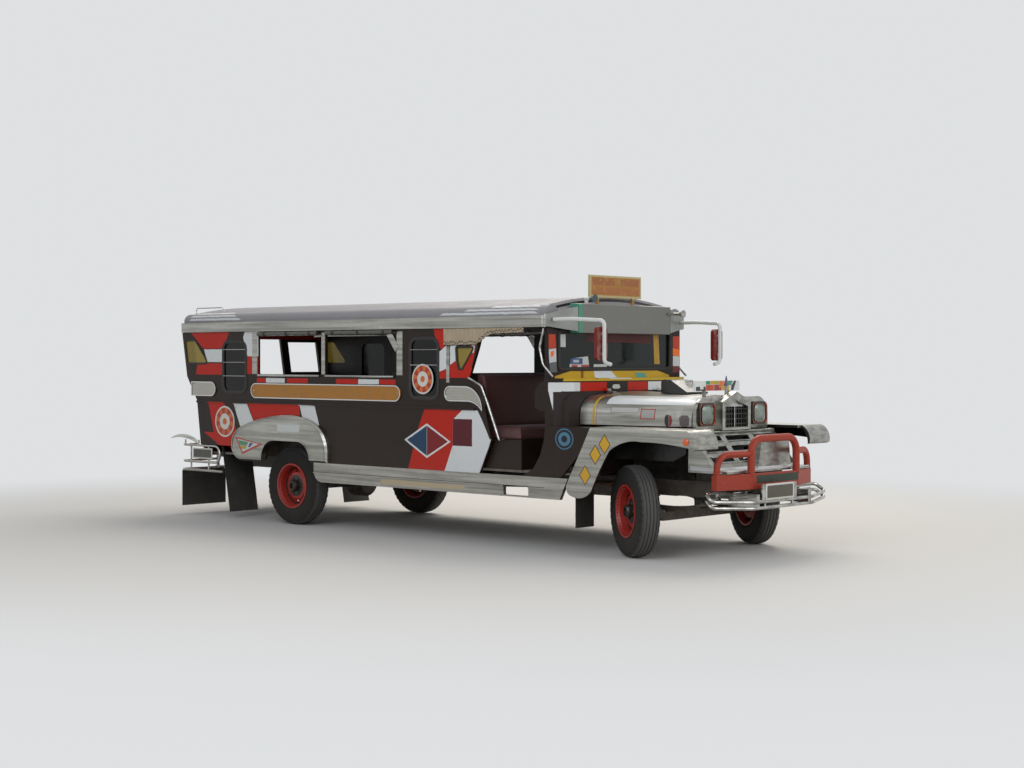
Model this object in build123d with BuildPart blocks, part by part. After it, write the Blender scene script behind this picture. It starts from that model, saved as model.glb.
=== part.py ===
# A jeepney: long open passenger body on a ladder frame, with a short flat-fendered nose.
# X points forward, Y to the vehicle's left, Z up. Millimetres. The origin is on the ground
# under the middle of the vehicle. Stations are measured forward from the rear axle.
from build123d import *
import os
from math import cos, radians, sin

os.makedirs("parts", exist_ok=True)

# Running gear
rear_axle_x = -1615
wheelbase = 4280
rear_track = 1690
front_track = 1584
tyre_radius = 385
tyre_width = 185
rim_radius = 204
rim_flange = 222
rim_half_width = 88
rim_sheet = 8
hub_bore = 22.5
stub_radius = 22
kingpin_offset = 118
steer_rest = -30
steer_arm = 125
axle_height = tyre_radius

# Ladder frame
rail_y = 380
rail_width = 60
rail_bottom = 500
rail_height = 130
frame_back = -1480
frame_front = 4900

# Body box
body_half = 975
wall = 30
sill_z = 635
overhang_z = 752
floor_z = 680
floor_sheet = 20
belt_z = 1210
window_sill_z = 1475
eave_z = 1920
gutter_top = 2020
roof_crown = 2205
roof_sheet = 22
body_back = -1735
belt_back = -1480
roof_front = 3400
roof_inset = 16
gutter_reach = 25

# Rear wheel arch and fender
arch_back = -357
arch_front = 379
arch_top = 833
arch_corner = 185
fender_top = 1089
fender_bulge = 50

# Nose
cowl_front = 3560
cowl_low_half = body_half - 40
cowl_sheet = 25
hood_back = 3575
hood_front = 4620
hood_sheet = 14
hood_bottom = 1086
hood_rear_half = 715
hood_front_half = 530
hood_top = 1362
hood_hinge = (3586, 1380)
front_fender_top = 1077
front_fender_half = body_half + 15
wing_sheet = 24
grille_x = 4630
grille_half = 530
grille_bottom = 1050
grille_top = 1328
lamp_y = 378
lamp_z = 1185

# Roof front and windscreen
screen_x = 3355
screen_half = 785
pillar_half = body_half - 45
visor_half = 647
visor_bottom = 1872
visor_top = 2123
visor_depth = 100

# Fits
seat_gap = 0.3
run_gap = 6


def at(station):
    """X of a station measured forward from the rear axle."""
    return rear_axle_x + station


front_axle_x = at(wheelbase)


def side_plane(y):
    """Plane seen from the right side: local x forward, local y up, depth towards -Y."""
    return Plane(origin=(0, y, 0), x_dir=(1, 0, 0), z_dir=(0, -1, 0))


def cross_plane(x):
    """Plane seen from behind: local x to the left, local y up, depth towards +X."""
    return Plane(origin=(x, 0, 0), x_dir=(0, 1, 0), z_dir=(1, 0, 0))


def stations(points):
    """Side outline given as (station, height) pairs, as points of the side plane."""
    return [(at(station), height) for station, height in points]


def slab(plane, outline, depth, corner=0, mode=Mode.ADD):
    """Adds to the open part a flat piece of the given outline, with its corners rounded."""
    with BuildSketch(plane) as face:
        with BuildLine():
            Polyline(*outline, close=True)
        make_face()
        if corner:
            fillet(face.vertices(), corner)
    extrude(face.sketch, amount=depth, mode=mode)


def block(x_span, y_span, z_span, mode=Mode.ADD):
    """Adds to the open part a box given by its limits along X, Y and Z."""
    middle = [(low + high) / 2 for low, high in (x_span, y_span, z_span)]
    size = [high - low for low, high in (x_span, y_span, z_span)]
    with Locations(tuple(middle)):
        Box(*size, mode=mode)


def rod(start, end, radius, mode=Mode.ADD):
    """Adds to the open part a straight round bar between two points."""
    line = Vector(*end) - Vector(*start)
    with BuildSketch(Plane(origin=start, z_dir=line)) as section:
        Circle(radius)
    extrude(section.sketch, amount=line.length, mode=mode)


def tube(points, radius, bend):
    """Adds to the open part a round tube along straight runs joined by bends."""
    with BuildLine() as route:
        FilletPolyline(*points, radius=bend)
    with BuildSketch(Plane(origin=route.line @ 0, z_dir=route.line % 0)) as section:
        Circle(radius)
    sweep(section.sketch, path=route.line)


def save(piece, name):
    """Labels a finished piece and writes its STEP file."""
    piece.part.label = name
    export_step(piece.part, f"parts/{name}.step")


def save_pair(right, name):
    """Writes the right-hand piece and its mirror image as two nodes."""
    save(right, name + "_right")
    with BuildPart() as left:
        mirror(right.part, about=Plane.XZ)
    save(left, name + "_left")


def save_both(right, name):
    """Writes the right-hand piece and its mirror image as one node of two solids."""
    with BuildPart() as both:
        add(right.part)
        mirror(right.part, about=Plane.XZ)
    save(both, name)


# Chassis frame: two rails, cross-members, and the hangers of the leaf springs.
# Springs, columns: name, axle station, seat height, distance from the centre line, half span.
spring_half_width = 27
spring_leaf = 11
spring_sweep = 70
eye_radius = 22
eye_pin = 10
springs = [
    ("rear", 0, 445, 462, 560),
    ("front", wheelbase, 362, rail_y, 480),
]
leaf_count = 4


def spring_eye(axle_station, seat_z, half_span):
    """Heights and stations of a spring's two eyes."""
    eye_z = seat_z + leaf_count * spring_leaf + spring_sweep
    return [(at(axle_station) + end * half_span, eye_z) for end in (-1, 1)]


with BuildPart() as chassis_frame:
    rail_top = rail_bottom + rail_height
    for side in (-1, 1):
        inner = side * (rail_y - rail_width / 2)
        outer = side * (rail_y + rail_width / 2)
        block((at(frame_back), at(frame_front)), sorted((inner, outer)), (rail_bottom, rail_top))
    cross_y = rail_y - rail_width / 2
    for station in (-1440, -620, 720, 1700, 2700, 4530, 4860):
        x_span = (at(station) - 35, at(station) + 35)
        block(x_span, (-cross_y, cross_y), (rail_top - 70, rail_top))
    for station in (-1100, 650, 1500, 2300, 3250):
        x_span = (at(station) - 25, at(station) + 25)
        reach = cowl_low_half - 2
        block(x_span, (-reach, reach), (rail_top, floor_z - floor_sheet))
    for name, axle_station, seat_z, spring_y, half_span in springs:
        for eye_x, eye_z in spring_eye(axle_station, seat_z, half_span):
            for side in (-1, 1):
                for cheek in (-1, 1):
                    near = side * spring_y + cheek * (spring_half_width + 1)
                    far = side * spring_y + cheek * (spring_half_width + 9)
                    x_span = (eye_x - 26, eye_x + 26)
                    z_span = (eye_z - 24, max(eye_z + 30, rail_bottom + 40))
                    block(x_span, sorted((near, far)), z_span)
                if spring_y > rail_y:
                    gusset = (side * (rail_y + rail_width / 2), side * (spring_y - spring_half_width - 1))
                    block(x_span, sorted(gusset), z_span)
                rod(
                    (eye_x, side * spring_y - spring_half_width - 9, eye_z),
                    (eye_x, side * spring_y + spring_half_width + 9, eye_z),
                    eye_pin,
                )
save(chassis_frame, "chassis_frame")

with BuildPart() as leaf_springs:
    for name, axle_station, seat_z, spring_y, half_span in springs:
        pack_top = seat_z + leaf_count * spring_leaf
        bow = (half_span**2 + spring_sweep**2) / (2 * spring_sweep)
        centre_z = pack_top + bow
        for side in (-1, 1):
            plane = side_plane(side * spring_y - spring_half_width)
            for leaf in range(leaf_count):
                top_r = bow + leaf * spring_leaf
                low_r = top_r + spring_leaf
                reach = half_span * (1 - 0.2 * leaf) / bow
                with BuildSketch(plane) as strip:
                    with BuildLine():
                        ends = []
                        for radius in (top_r, low_r):
                            for turn in (-reach, 0, reach):
                                x = at(axle_station) + radius * sin(turn)
                                ends.append((x, centre_z - radius * cos(turn)))
                        ThreePointArc(*ends[:3])
                        Line(ends[2], ends[5])
                        ThreePointArc(ends[5], ends[4], ends[3])
                        Line(ends[3], ends[0])
                    make_face()
                extrude(strip.sketch, amount=-2 * spring_half_width)
            for eye_x, eye_z in spring_eye(axle_station, seat_z, half_span):
                start = (eye_x, side * spring_y - spring_half_width, eye_z)
                end = (eye_x, side * spring_y + spring_half_width, eye_z)
                rod(start, end, eye_radius)
                rod(start, end, eye_pin + seat_gap, mode=Mode.SUBTRACT)
save(leaf_springs, "leaf_springs")

# Rear axle: tube, banjo housing, spring pads and the two stubs that carry the wheels.
drum_inner = -52
rear_hub_y = rear_track / 2
with BuildPart() as rear_axle:
    tube_end = rear_hub_y + drum_inner - run_gap
    rod((at(0), -tube_end, axle_height), (at(0), tube_end, axle_height), 48)
    rod((at(0), -rear_hub_y - 60, axle_height), (at(0), rear_hub_y + 60, axle_height), stub_radius)
    rod((at(-110), 0, axle_height), (at(120), 0, axle_height), 150)
    chamfer(rear_axle.edges().filter_by(GeomType.CIRCLE).group_by(SortBy.RADIUS)[-1], 35)
    rod((at(100), 0, axle_height + 5), (at(200), 0, axle_height + 5), 55)
    for side in (-1, 1):
        spring_y = springs[0][3]
        pad = sorted((side * (spring_y - 34), side * (spring_y + 34)))
        block((at(-60), at(60)), pad, (axle_height, springs[0][2] - seat_gap))
save(rear_axle, "rear_axle")

# Front axle: dropped beam with an eye at each end for the king pin.
kingpin_y = front_track / 2 - kingpin_offset
pin_radius = 12
boss_low = 335
boss_high = 435
with BuildPart() as front_axle:
    beam = [(-505, 288), (505, 288), (575, 345), (kingpin_y, 345), (kingpin_y, 420),
            (560, 420), (480, 362 - seat_gap)]
    beam += [(-y, z) for y, z in beam[:1:-1]]
    slab(cross_plane(front_axle_x - 28), beam, 56)
    for side in (-1, 1):
        rod((front_axle_x, side * kingpin_y, boss_low), (front_axle_x, side * kingpin_y, boss_high), 26)
        pin_hole = pin_radius + 0.5
        start = (front_axle_x, side * kingpin_y, boss_low - 5)
        rod(start, (front_axle_x, side * kingpin_y, boss_high + 5), pin_hole, mode=Mode.SUBTRACT)
save(front_axle, "front_axle")

# Steering knuckles, built as they stand: turned with the wheels.
turn = radians(steer_rest)
ahead = Vector(cos(turn), sin(turn), 0)
leftward = Vector(-sin(turn), cos(turn), 0)
rod_z = 285
tie_eye = 19
tie_pin = 8
arm_low = 305
arm_high = 325


def kingpin(side):
    """Point on a king pin's axis at ground level."""
    return Vector(front_axle_x, side * kingpin_y, 0)


def wheel_frame(side, front):
    """Hub centre and outward axle direction of a wheel."""
    if front:
        outward = leftward * side
        return kingpin(side) + outward * kingpin_offset + Vector(0, 0, axle_height), outward
    return Vector(at(0), side * rear_hub_y, axle_height), Vector(0, side, 0)


def steer_point(side, forward, outward, height):
    """Point of a knuckle, given in the turned wheel's own directions."""
    offset = ahead * forward + leftward * (side * outward)
    return kingpin(side) + offset + Vector(0, 0, height)


def knuckle(side):
    """Builds one steering knuckle: yoke, king pin, stub axle and steering arm."""
    with BuildPart() as piece:
        rod(steer_point(side, 0, 0, arm_low - 12), steer_point(side, 0, 0, 478), pin_radius)
        for low, high in ((arm_low - 12, arm_high), (boss_high + 8, 470)):
            rod(steer_point(side, 0, 0, low), steer_point(side, 0, 0, high), 27)
            lug = Plane(origin=steer_point(side, 0, 0, low), x_dir=ahead, z_dir=(0, 0, 1))
            slab(lug, [(-25, 0), (25, 0), (25, side * 42), (-25, side * 42)], high - low)
        web = Plane(origin=steer_point(side, 0, 0, arm_low - 12), x_dir=ahead, z_dir=(0, 0, 1))
        slab(web, [(-34, side * 31), (34, side * 31), (34, side * 42), (-34, side * 42)], 470 - arm_low + 12)
        rod(steer_point(side, 0, 36, axle_height), steer_point(side, 0, kingpin_offset + 60, axle_height),
            stub_radius)
        rod_end = Plane(origin=(0, 0, arm_low), x_dir=(1, 0, 0), z_dir=(0, 0, 1))
        arm_tip = kingpin(side) - ahead * steer_arm
        root = kingpin(side)
        across = leftward * 16
        outline = [root + across, root - across, arm_tip - across, arm_tip + across]
        slab(rod_end, [(point.X, point.Y) for point in outline], arm_high - arm_low)
        rod(arm_tip + Vector(0, 0, arm_low), arm_tip + Vector(0, 0, arm_high), 19)
        rod(arm_tip + Vector(0, 0, arm_high), arm_tip + Vector(0, 0, rod_z - 16), tie_pin)
    return piece


save(knuckle(-1), "knuckle_right")
save(knuckle(1), "knuckle_left")

with BuildPart() as tie_rod:
    tips = [kingpin(side) - ahead * steer_arm for side in (-1, 1)]
    rod(tips[0] + Vector(0, 0, rod_z), tips[1] + Vector(0, 0, rod_z), 10)
    for tip in tips:
        rod(tip + Vector(0, 0, rod_z - 12), tip + Vector(0, 0, rod_z + 12), tie_eye)
        rod(tip + Vector(0, 0, rod_z - 14), tip + Vector(0, 0, rod_z + 14), tie_pin + 0.6, mode=Mode.SUBTRACT)
save(tie_rod, "tie_rod")

# Wheels: four alike, each a rubber tyre on a pressed steel rim with its hub and drum.
# Rim half section, columns: distance outward from the wheel's middle, radius.
rim_section = [
    (-rim_half_width, rim_flange), (-rim_half_width, rim_flange - 14), (-60, rim_radius - rim_sheet - 4),
    (-14, rim_radius - 26), (-4, 150), (16, 120), (16, 92), (-12, 92), (-12, 150), (drum_inner, 150),
    (drum_inner, hub_bore), (72, hub_bore), (72, 30), (88, 30), (88, 44), (70, 54), (32, 56), (32, 82),
    (24, 130), (4, 160), (-4, rim_radius - 20), (60, rim_radius - rim_sheet - 4),
    (rim_half_width, rim_flange - 14), (rim_half_width, rim_flange),
    (rim_half_width - rim_sheet, rim_flange), (rim_half_width - rim_sheet, rim_radius),
    (-rim_half_width + rim_sheet, rim_radius), (-rim_half_width + rim_sheet, rim_flange),
]
shoulder_half = 74
shoulder_radius = tyre_radius - 13
hand_holes = 8
hand_hole_circle = 145


def wheel(side, front):
    """Builds the tyre and the rim of one wheel."""
    hub, outward = wheel_frame(side, front)
    section_plane = Plane(origin=hub, x_dir=outward, z_dir=outward.cross(Vector(0, 0, 1)))
    spin = Axis(origin=hub, direction=outward)
    bead = rim_half_width - rim_sheet - seat_gap
    with BuildPart() as tyre:
        with BuildSketch(section_plane) as tyre_face:
            with BuildLine():
                Line((-bead, rim_radius + seat_gap), (bead, rim_radius + seat_gap))
                Line((bead, rim_radius + seat_gap), (bead, rim_flange + 2))
                ThreePointArc((bead, rim_flange + 2), (tyre_width / 2, 300), (shoulder_half, shoulder_radius))
                ThreePointArc((shoulder_half, shoulder_radius), (0, tyre_radius),
                              (-shoulder_half, shoulder_radius))
                ThreePointArc((-shoulder_half, shoulder_radius), (-tyre_width / 2, 300),
                              (-bead, rim_flange + 2))
                Line((-bead, rim_flange + 2), (-bead, rim_radius + seat_gap))
            make_face()
        revolve(tyre_face.sketch, axis=spin)
    with BuildPart() as rim:
        with BuildSketch(section_plane) as rim_face:
            with BuildLine():
                Polyline(*rim_section, close=True)
            make_face()
        revolve(rim_face.sketch, axis=spin)
        disc = Plane(origin=hub - outward * 9, x_dir=(0, 0, 1), z_dir=outward)
        with BuildSketch(disc) as holes:
            with PolarLocations(hand_hole_circle, hand_holes):
                SlotOverall(44, 20, rotation=90)
        extrude(holes.sketch, amount=60, mode=Mode.SUBTRACT)
    return tyre, rim


for name, side, front in (("rear_right", -1, False), ("rear_left", 1, False),
                          ("front_right", -1, True), ("front_left", 1, True)):
    tyre, rim = wheel(side, front)
    save(tyre, "tyre_" + name)
    save(rim, "rim_" + name)

# Drive line: one plain engine and gearbox block, the shaft, the silencer and the tank.
rail_inner = rail_y - rail_width / 2
with BuildPart() as engine:
    block((at(3780), at(4440)), (-240, 240), (560, 1010))
    block((at(3860), at(4180)), (-150, 150), (470, 560))
    block((at(2960), at(3780)), (-140, 140), (430, 624))
    block((at(4050), at(4150)), (-rail_inner + seat_gap, rail_inner - seat_gap), (565, 615))
save(engine, "engine")

with BuildPart() as radiator:
    block((at(4500), at(4560)), (-300, 300), (rail_top + seat_gap, 1240))
save(radiator, "radiator")

with BuildPart() as prop_shaft:
    rod((at(215), 0, axle_height + 10), (at(2945), 0, 500), 34)
    rod((at(200 + seat_gap + 1), 0, axle_height + 10), (at(230), 0, axle_height + 10), 45)
    rod((at(2930), 0, 500), (at(2960 - seat_gap), 0, 500), 45)
save(prop_shaft, "prop_shaft")

with BuildPart() as exhaust:
    rod((at(1750), -560, 540), (at(2450), -560, 540), 85)
    tube([(at(1760), -560, 540), (at(1200), -560, 540), (at(760), -560, 590), (at(760), -880, 590)], 24, 60)
    tube([(at(2440), -560, 540), (at(2900), -560, 540), (at(3150), -rail_y - 60, 540),
          (at(3700), -rail_y - 60, 560)], 24, 60)
    for station in (1850, 2350):
        x_span = (at(station) - 15, at(station) + 15)
        block(x_span, (-570, -rail_y - rail_width / 2 - seat_gap), (600, 618))
save(exhaust, "exhaust")

with BuildPart() as fuel_tank:
    block((at(1560), at(2240)), (rail_y + rail_width / 2 + seat_gap, body_half - 155),
          (420, rail_top - seat_gap))
    fillet(fuel_tank.edges().filter_by(Axis.X), 40)
save(fuel_tank, "fuel_tank")

# Cabin floor with the rear wheel houses.
well_inner = 712
well_top = 862
well_sheet = 8
skin_inner = body_half - wall - seat_gap
floor_front = 3700
with BuildPart() as cabin_floor:
    deck = (floor_z - floor_sheet, floor_z)
    block((at(-1372), at(3110)), (-skin_inner, skin_inner), deck)
    foot_half = cowl_low_half - seat_gap
    block((at(3110), at(floor_front - seat_gap)), (-foot_half, foot_half), deck)
    for side in (-1, 1):
        shell_y = sorted((side * (well_inner - well_sheet), side * skin_inner))
        space_y = sorted((side * well_inner, side * (skin_inner + 1)))
        block((at(-430 - well_sheet), at(430 + well_sheet)), shell_y, (floor_z, well_top + well_sheet))
        block((at(-430), at(430)), space_y, (floor_z - floor_sheet, well_top), mode=Mode.SUBTRACT)
save(cabin_floor, "cabin_floor")

# Side walls: a lower panel up to the belt, and an upper frame with the windows.
lower_outline = [(-1416, overhang_z), (belt_back, belt_z), (2690, belt_z), (2767, 934), (2621, sill_z),
                 (-800, sill_z), (-880, overhang_z)]


def arch_face(spread=0):
    """Draws the rear wheel arch, wider all round by the given amount."""
    foot = sill_z - 200
    outline = [(arch_back, foot), (arch_back, arch_top), (arch_front, arch_top), (arch_front, foot)]
    with BuildSketch(mode=Mode.PRIVATE) as opening:
        with BuildLine():
            Polyline(*stations(outline), close=True)
        make_face()
        fillet(opening.vertices().group_by(Axis.Y)[-1], arch_corner)
        if spread:
            offset(amount=spread)
    return opening.sketch


with BuildPart() as side_lower:
    slab(side_plane(-body_half + wall), stations(lower_outline), wall)
    with BuildSketch(side_plane(-body_half + wall)) as wall_arch:
        add(arch_face())
    extrude(wall_arch.sketch, amount=wall, mode=Mode.SUBTRACT)
    strip = [(belt_back + 2, belt_z - 22), (belt_back, belt_z), (2570, belt_z), (2570, belt_z - 22)]
    slab(side_plane(-body_half), stations(strip), 12)
save_pair(side_lower, "side_lower")

upper_outline = [(belt_back, belt_z), (-1650, 1460), (body_back, eave_z), (2660, eave_z), (2608, 1752),
                 (2497, window_sill_z + 5), (2657, 1400), (2700, 1270), (2690, belt_z)]
# Windows, columns: outline as station and height, corner radius.
windows = [
    ([(-470, 1492), (498, 1492), (498, 1888), (-470, 1888)], 15),
    ([(562, 1492), (1550, 1492), (1550, 1888), (562, 1888)], 15),
    ([(-1032, 1306), (-666, 1306), (-666, 1816), (-1032, 1816)], 75),
    ([(1744, 1290), (2102, 1290), (2102, 1828), (1744, 1828)], 75),
    ([(-1650, 1598), (-1285, 1598), (-1512, 1840), (-1690, 1840)], 22),
    ([(2342, 1640), (2364, 1556), (2410, 1556), (2556, 1752), (2334, 1752)], 14),
]
with BuildPart() as side_upper:
    slab(side_plane(-body_half + wall), stations(upper_outline), wall)
    for outline, corner in windows:
        slab(side_plane(-body_half + wall), stations(outline), wall, corner, mode=Mode.SUBTRACT)
save_pair(side_upper, "side_upper")

# Glazing: the panes of the small side windows and of the windscreen.
glass = 5
with BuildPart() as glazing:
    for outline, corner in windows[2:]:
        for y in (-body_half + wall / 2, body_half - wall / 2 + glass):
            with BuildSketch(side_plane(y)) as pane:
                with BuildLine():
                    Polyline(*stations(outline), close=True)
                make_face()
                fillet(pane.vertices(), corner)
                offset(amount=-seat_gap)
            extrude(pane.sketch, amount=glass)
    screen_edge = screen_half - seat_gap
    pane_outline = [(-screen_edge, 1560), (screen_edge, 1560), (screen_edge, 1890), (-screen_edge, 1890)]
    slab(cross_plane(at(screen_x + 15)), pane_outline, glass)
save(glazing, "glazing")

# Rear wall: follows the slanted back of the sides, open in the middle for the entrance.
entrance_half = 330
rear_pane_inner = entrance_half + 100
rear_pane_outer = body_half - 125
with BuildPart() as rear_wall:
    back_line = [(-1400, sill_z), (belt_back, belt_z), (-1650, 1460), (body_back, eave_z)]
    front_line = [(station + wall, height) for station, height in reversed(back_line)]
    slab(side_plane(skin_inner), stations(back_line + front_line), 2 * skin_inner)
    block((at(-1800), at(-1300)), (-entrance_half, entrance_half), (sill_z - 10, 1860), mode=Mode.SUBTRACT)
    for side in (-1, 1):
        y_span = sorted((side * rear_pane_inner, side * rear_pane_outer))
        block((at(-1800), at(-1300)), y_span, (1500, 1830), mode=Mode.SUBTRACT)
save(rear_wall, "rear_wall")

# Roof: a crowned sheet-metal shell closed at both ends, and the gutter rail round its foot.
roof_half = body_half - roof_inset
with BuildPart() as roof:
    for inset, mode in ((0, Mode.ADD), (roof_sheet, Mode.SUBTRACT)):
        half = roof_half - inset
        shoulder_z = gutter_top + 70 - inset
        foot_z = eave_z + seat_gap - (0 if mode == Mode.ADD else 5)
        with BuildSketch(cross_plane(at(body_back + 15 + inset))) as arch:
            with BuildLine():
                Line((-half, foot_z), (half, foot_z))
                Line((half, foot_z), (half, shoulder_z - 40))
                ThreePointArc((half, shoulder_z - 40), (half - 25, shoulder_z), (half - 90, shoulder_z + 25))
                ThreePointArc((half - 90, shoulder_z + 25), (0, roof_crown - inset),
                              (-half + 90, shoulder_z + 25))
                ThreePointArc((-half + 90, shoulder_z + 25), (-half + 25, shoulder_z),
                              (-half, shoulder_z - 40))
                Line((-half, shoulder_z - 40), (-half, foot_z))
            make_face()
        extrude(arch.sketch, amount=roof_front - body_back - 30 - 2 * inset, mode=mode)
        if mode == Mode.ADD:
            ends = roof.edges().filter_by(GeomType.CIRCLE).filter_by(
                lambda edge: edge.length > 1200)
            chamfer(ends, 45, 90)
save(roof, "roof")

# The gutter rail ends forward in two slanted cheeks that close the corners beside the visor box.
cheek_reach = 345
cheek_sheet = 12
with BuildPart() as roof_gutter:
    gutter_half = body_half + gutter_reach
    block((at(body_back), at(roof_front)), (-gutter_half, gutter_half), (eave_z + 2, gutter_top))
    fillet(roof_gutter.edges().filter_by(Axis.Z), 30)
    inner_x = (at(body_back) + 14, at(roof_front) - 14)
    inner_half = roof_half + seat_gap
    block(inner_x, (-inner_half, inner_half), (eave_z, gutter_top + 2), mode=Mode.SUBTRACT)
    for side in (-1, 1):
        corner = Vector(at(roof_front + 2), side * (gutter_half - 15), 0)
        visor_corner = Vector(at(roof_front + visor_depth), side * visor_half, 0)
        along = (visor_corner - corner).normalized()
        cheek_plane = Plane(origin=corner, x_dir=along, z_dir=(along.Y, -along.X, 0))
        cheek = [(0, 1930), (cheek_reach, 1885), (cheek_reach, 2100), (0, 2030)]
        slab(cheek_plane, cheek, side * cheek_sheet)
save(roof_gutter, "roof_gutter")

# Rear fenders: bulged half-oval covers over the wheel arches, with a bead round both edges.
fender_chamfer = 20
fender_bead = 12
bead_height = 5


# Arcs down from the fender's top, columns: heading along X, then radius and turn of each arc.
fender_arcs = [
    (-1, [(2307, 20), (191, 70), (158, 90)]),
    (1, [(936, -25), (288, -65)]),
]
fender_toe = sill_z + 3


def fender_face():
    """Draws the half-oval outline of a rear fender."""
    with BuildSketch(mode=Mode.PRIVATE) as oval:
        with BuildLine():
            ends = []
            for heading, arcs in fender_arcs:
                point, direction = (at(60), fender_top), (heading, 0)
                for radius, swing in arcs:
                    arc = JernArc(point, direction, radius, swing)
                    point, direction = arc @ 1, arc % 1
                ends.append(point)
            Polyline(ends[0], (at(0), ends[0].Y), (at(0), fender_toe), (ends[1].X, fender_toe), ends[1])
        make_face()
    return oval.sketch


with BuildPart() as rear_fender:
    with BuildSketch(side_plane(-body_half - seat_gap)) as cover:
        add(fender_face())
    extrude(cover.sketch, amount=fender_bulge)
    chamfer(rear_fender.faces().sort_by(Axis.Y)[0].edges(), fender_chamfer)
    with BuildSketch(side_plane(-body_half - seat_gap - fender_bulge)) as outer_bead:
        add(fender_face())
        offset(amount=-fender_chamfer)
        offset(amount=-fender_bead, mode=Mode.SUBTRACT)
    extrude(outer_bead.sketch, amount=bead_height)
    with BuildSketch(side_plane(-body_half - seat_gap - fender_bulge)) as arch_bead:
        add(fender_face())
        offset(amount=-fender_chamfer)
        add(arch_face(fender_bead), mode=Mode.INTERSECT)
    extrude(arch_bead.sketch, amount=bead_height)
    with BuildSketch(side_plane(-body_half + 10)) as arch_hole:
        add(arch_face())
    extrude(arch_hole.sketch, amount=fender_bulge + 40, mode=Mode.SUBTRACT)
save_both(rear_fender, "rear_fenders")

# Side skirts: ribbed sills under the body, each with a stirrup hole below the doorway.
skirt_bottom = 450
skirt_line = 539
skirt_back = 392
skirt_front = 3660
skirt_sheet = 36
skirt_corner = 110
with BuildPart() as side_skirt:
    skirt_y = -body_half + wall
    outline = [(skirt_back, sill_z), (skirt_back, skirt_bottom), (skirt_front - 90, skirt_bottom),
               (skirt_front, sill_z)]
    with BuildSketch(side_plane(skirt_y)) as skirt_face:
        with BuildLine():
            Polyline(*stations(outline), close=True)
        make_face()
        fillet(skirt_face.vertices().group_by(Axis.Y)[0].sort_by(Axis.X)[0], skirt_corner)
    extrude(skirt_face.sketch, amount=skirt_sheet)
    rib = [(skirt_back, skirt_line - 6), (skirt_front - 50, skirt_line - 6),
           (skirt_front - 46, skirt_line + 6), (skirt_back, skirt_line + 6)]
    slab(side_plane(skirt_y - skirt_sheet), stations(rib), 8)
    rim_back = skirt_back + skirt_corner
    rim_low = [(rim_back, skirt_bottom), (2900, skirt_bottom), (2900, skirt_bottom + 14),
               (rim_back, skirt_bottom + 14)]
    slab(side_plane(skirt_y - skirt_sheet), stations(rim_low), 8)
    stirrup = [(2920, 462), (3212, 462), (3212, 548), (2920, 548)]
    slab(side_plane(skirt_y + 1), stations(stirrup), skirt_sheet + 20, 10, mode=Mode.SUBTRACT)
save_both(side_skirt, "side_skirts")

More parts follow.
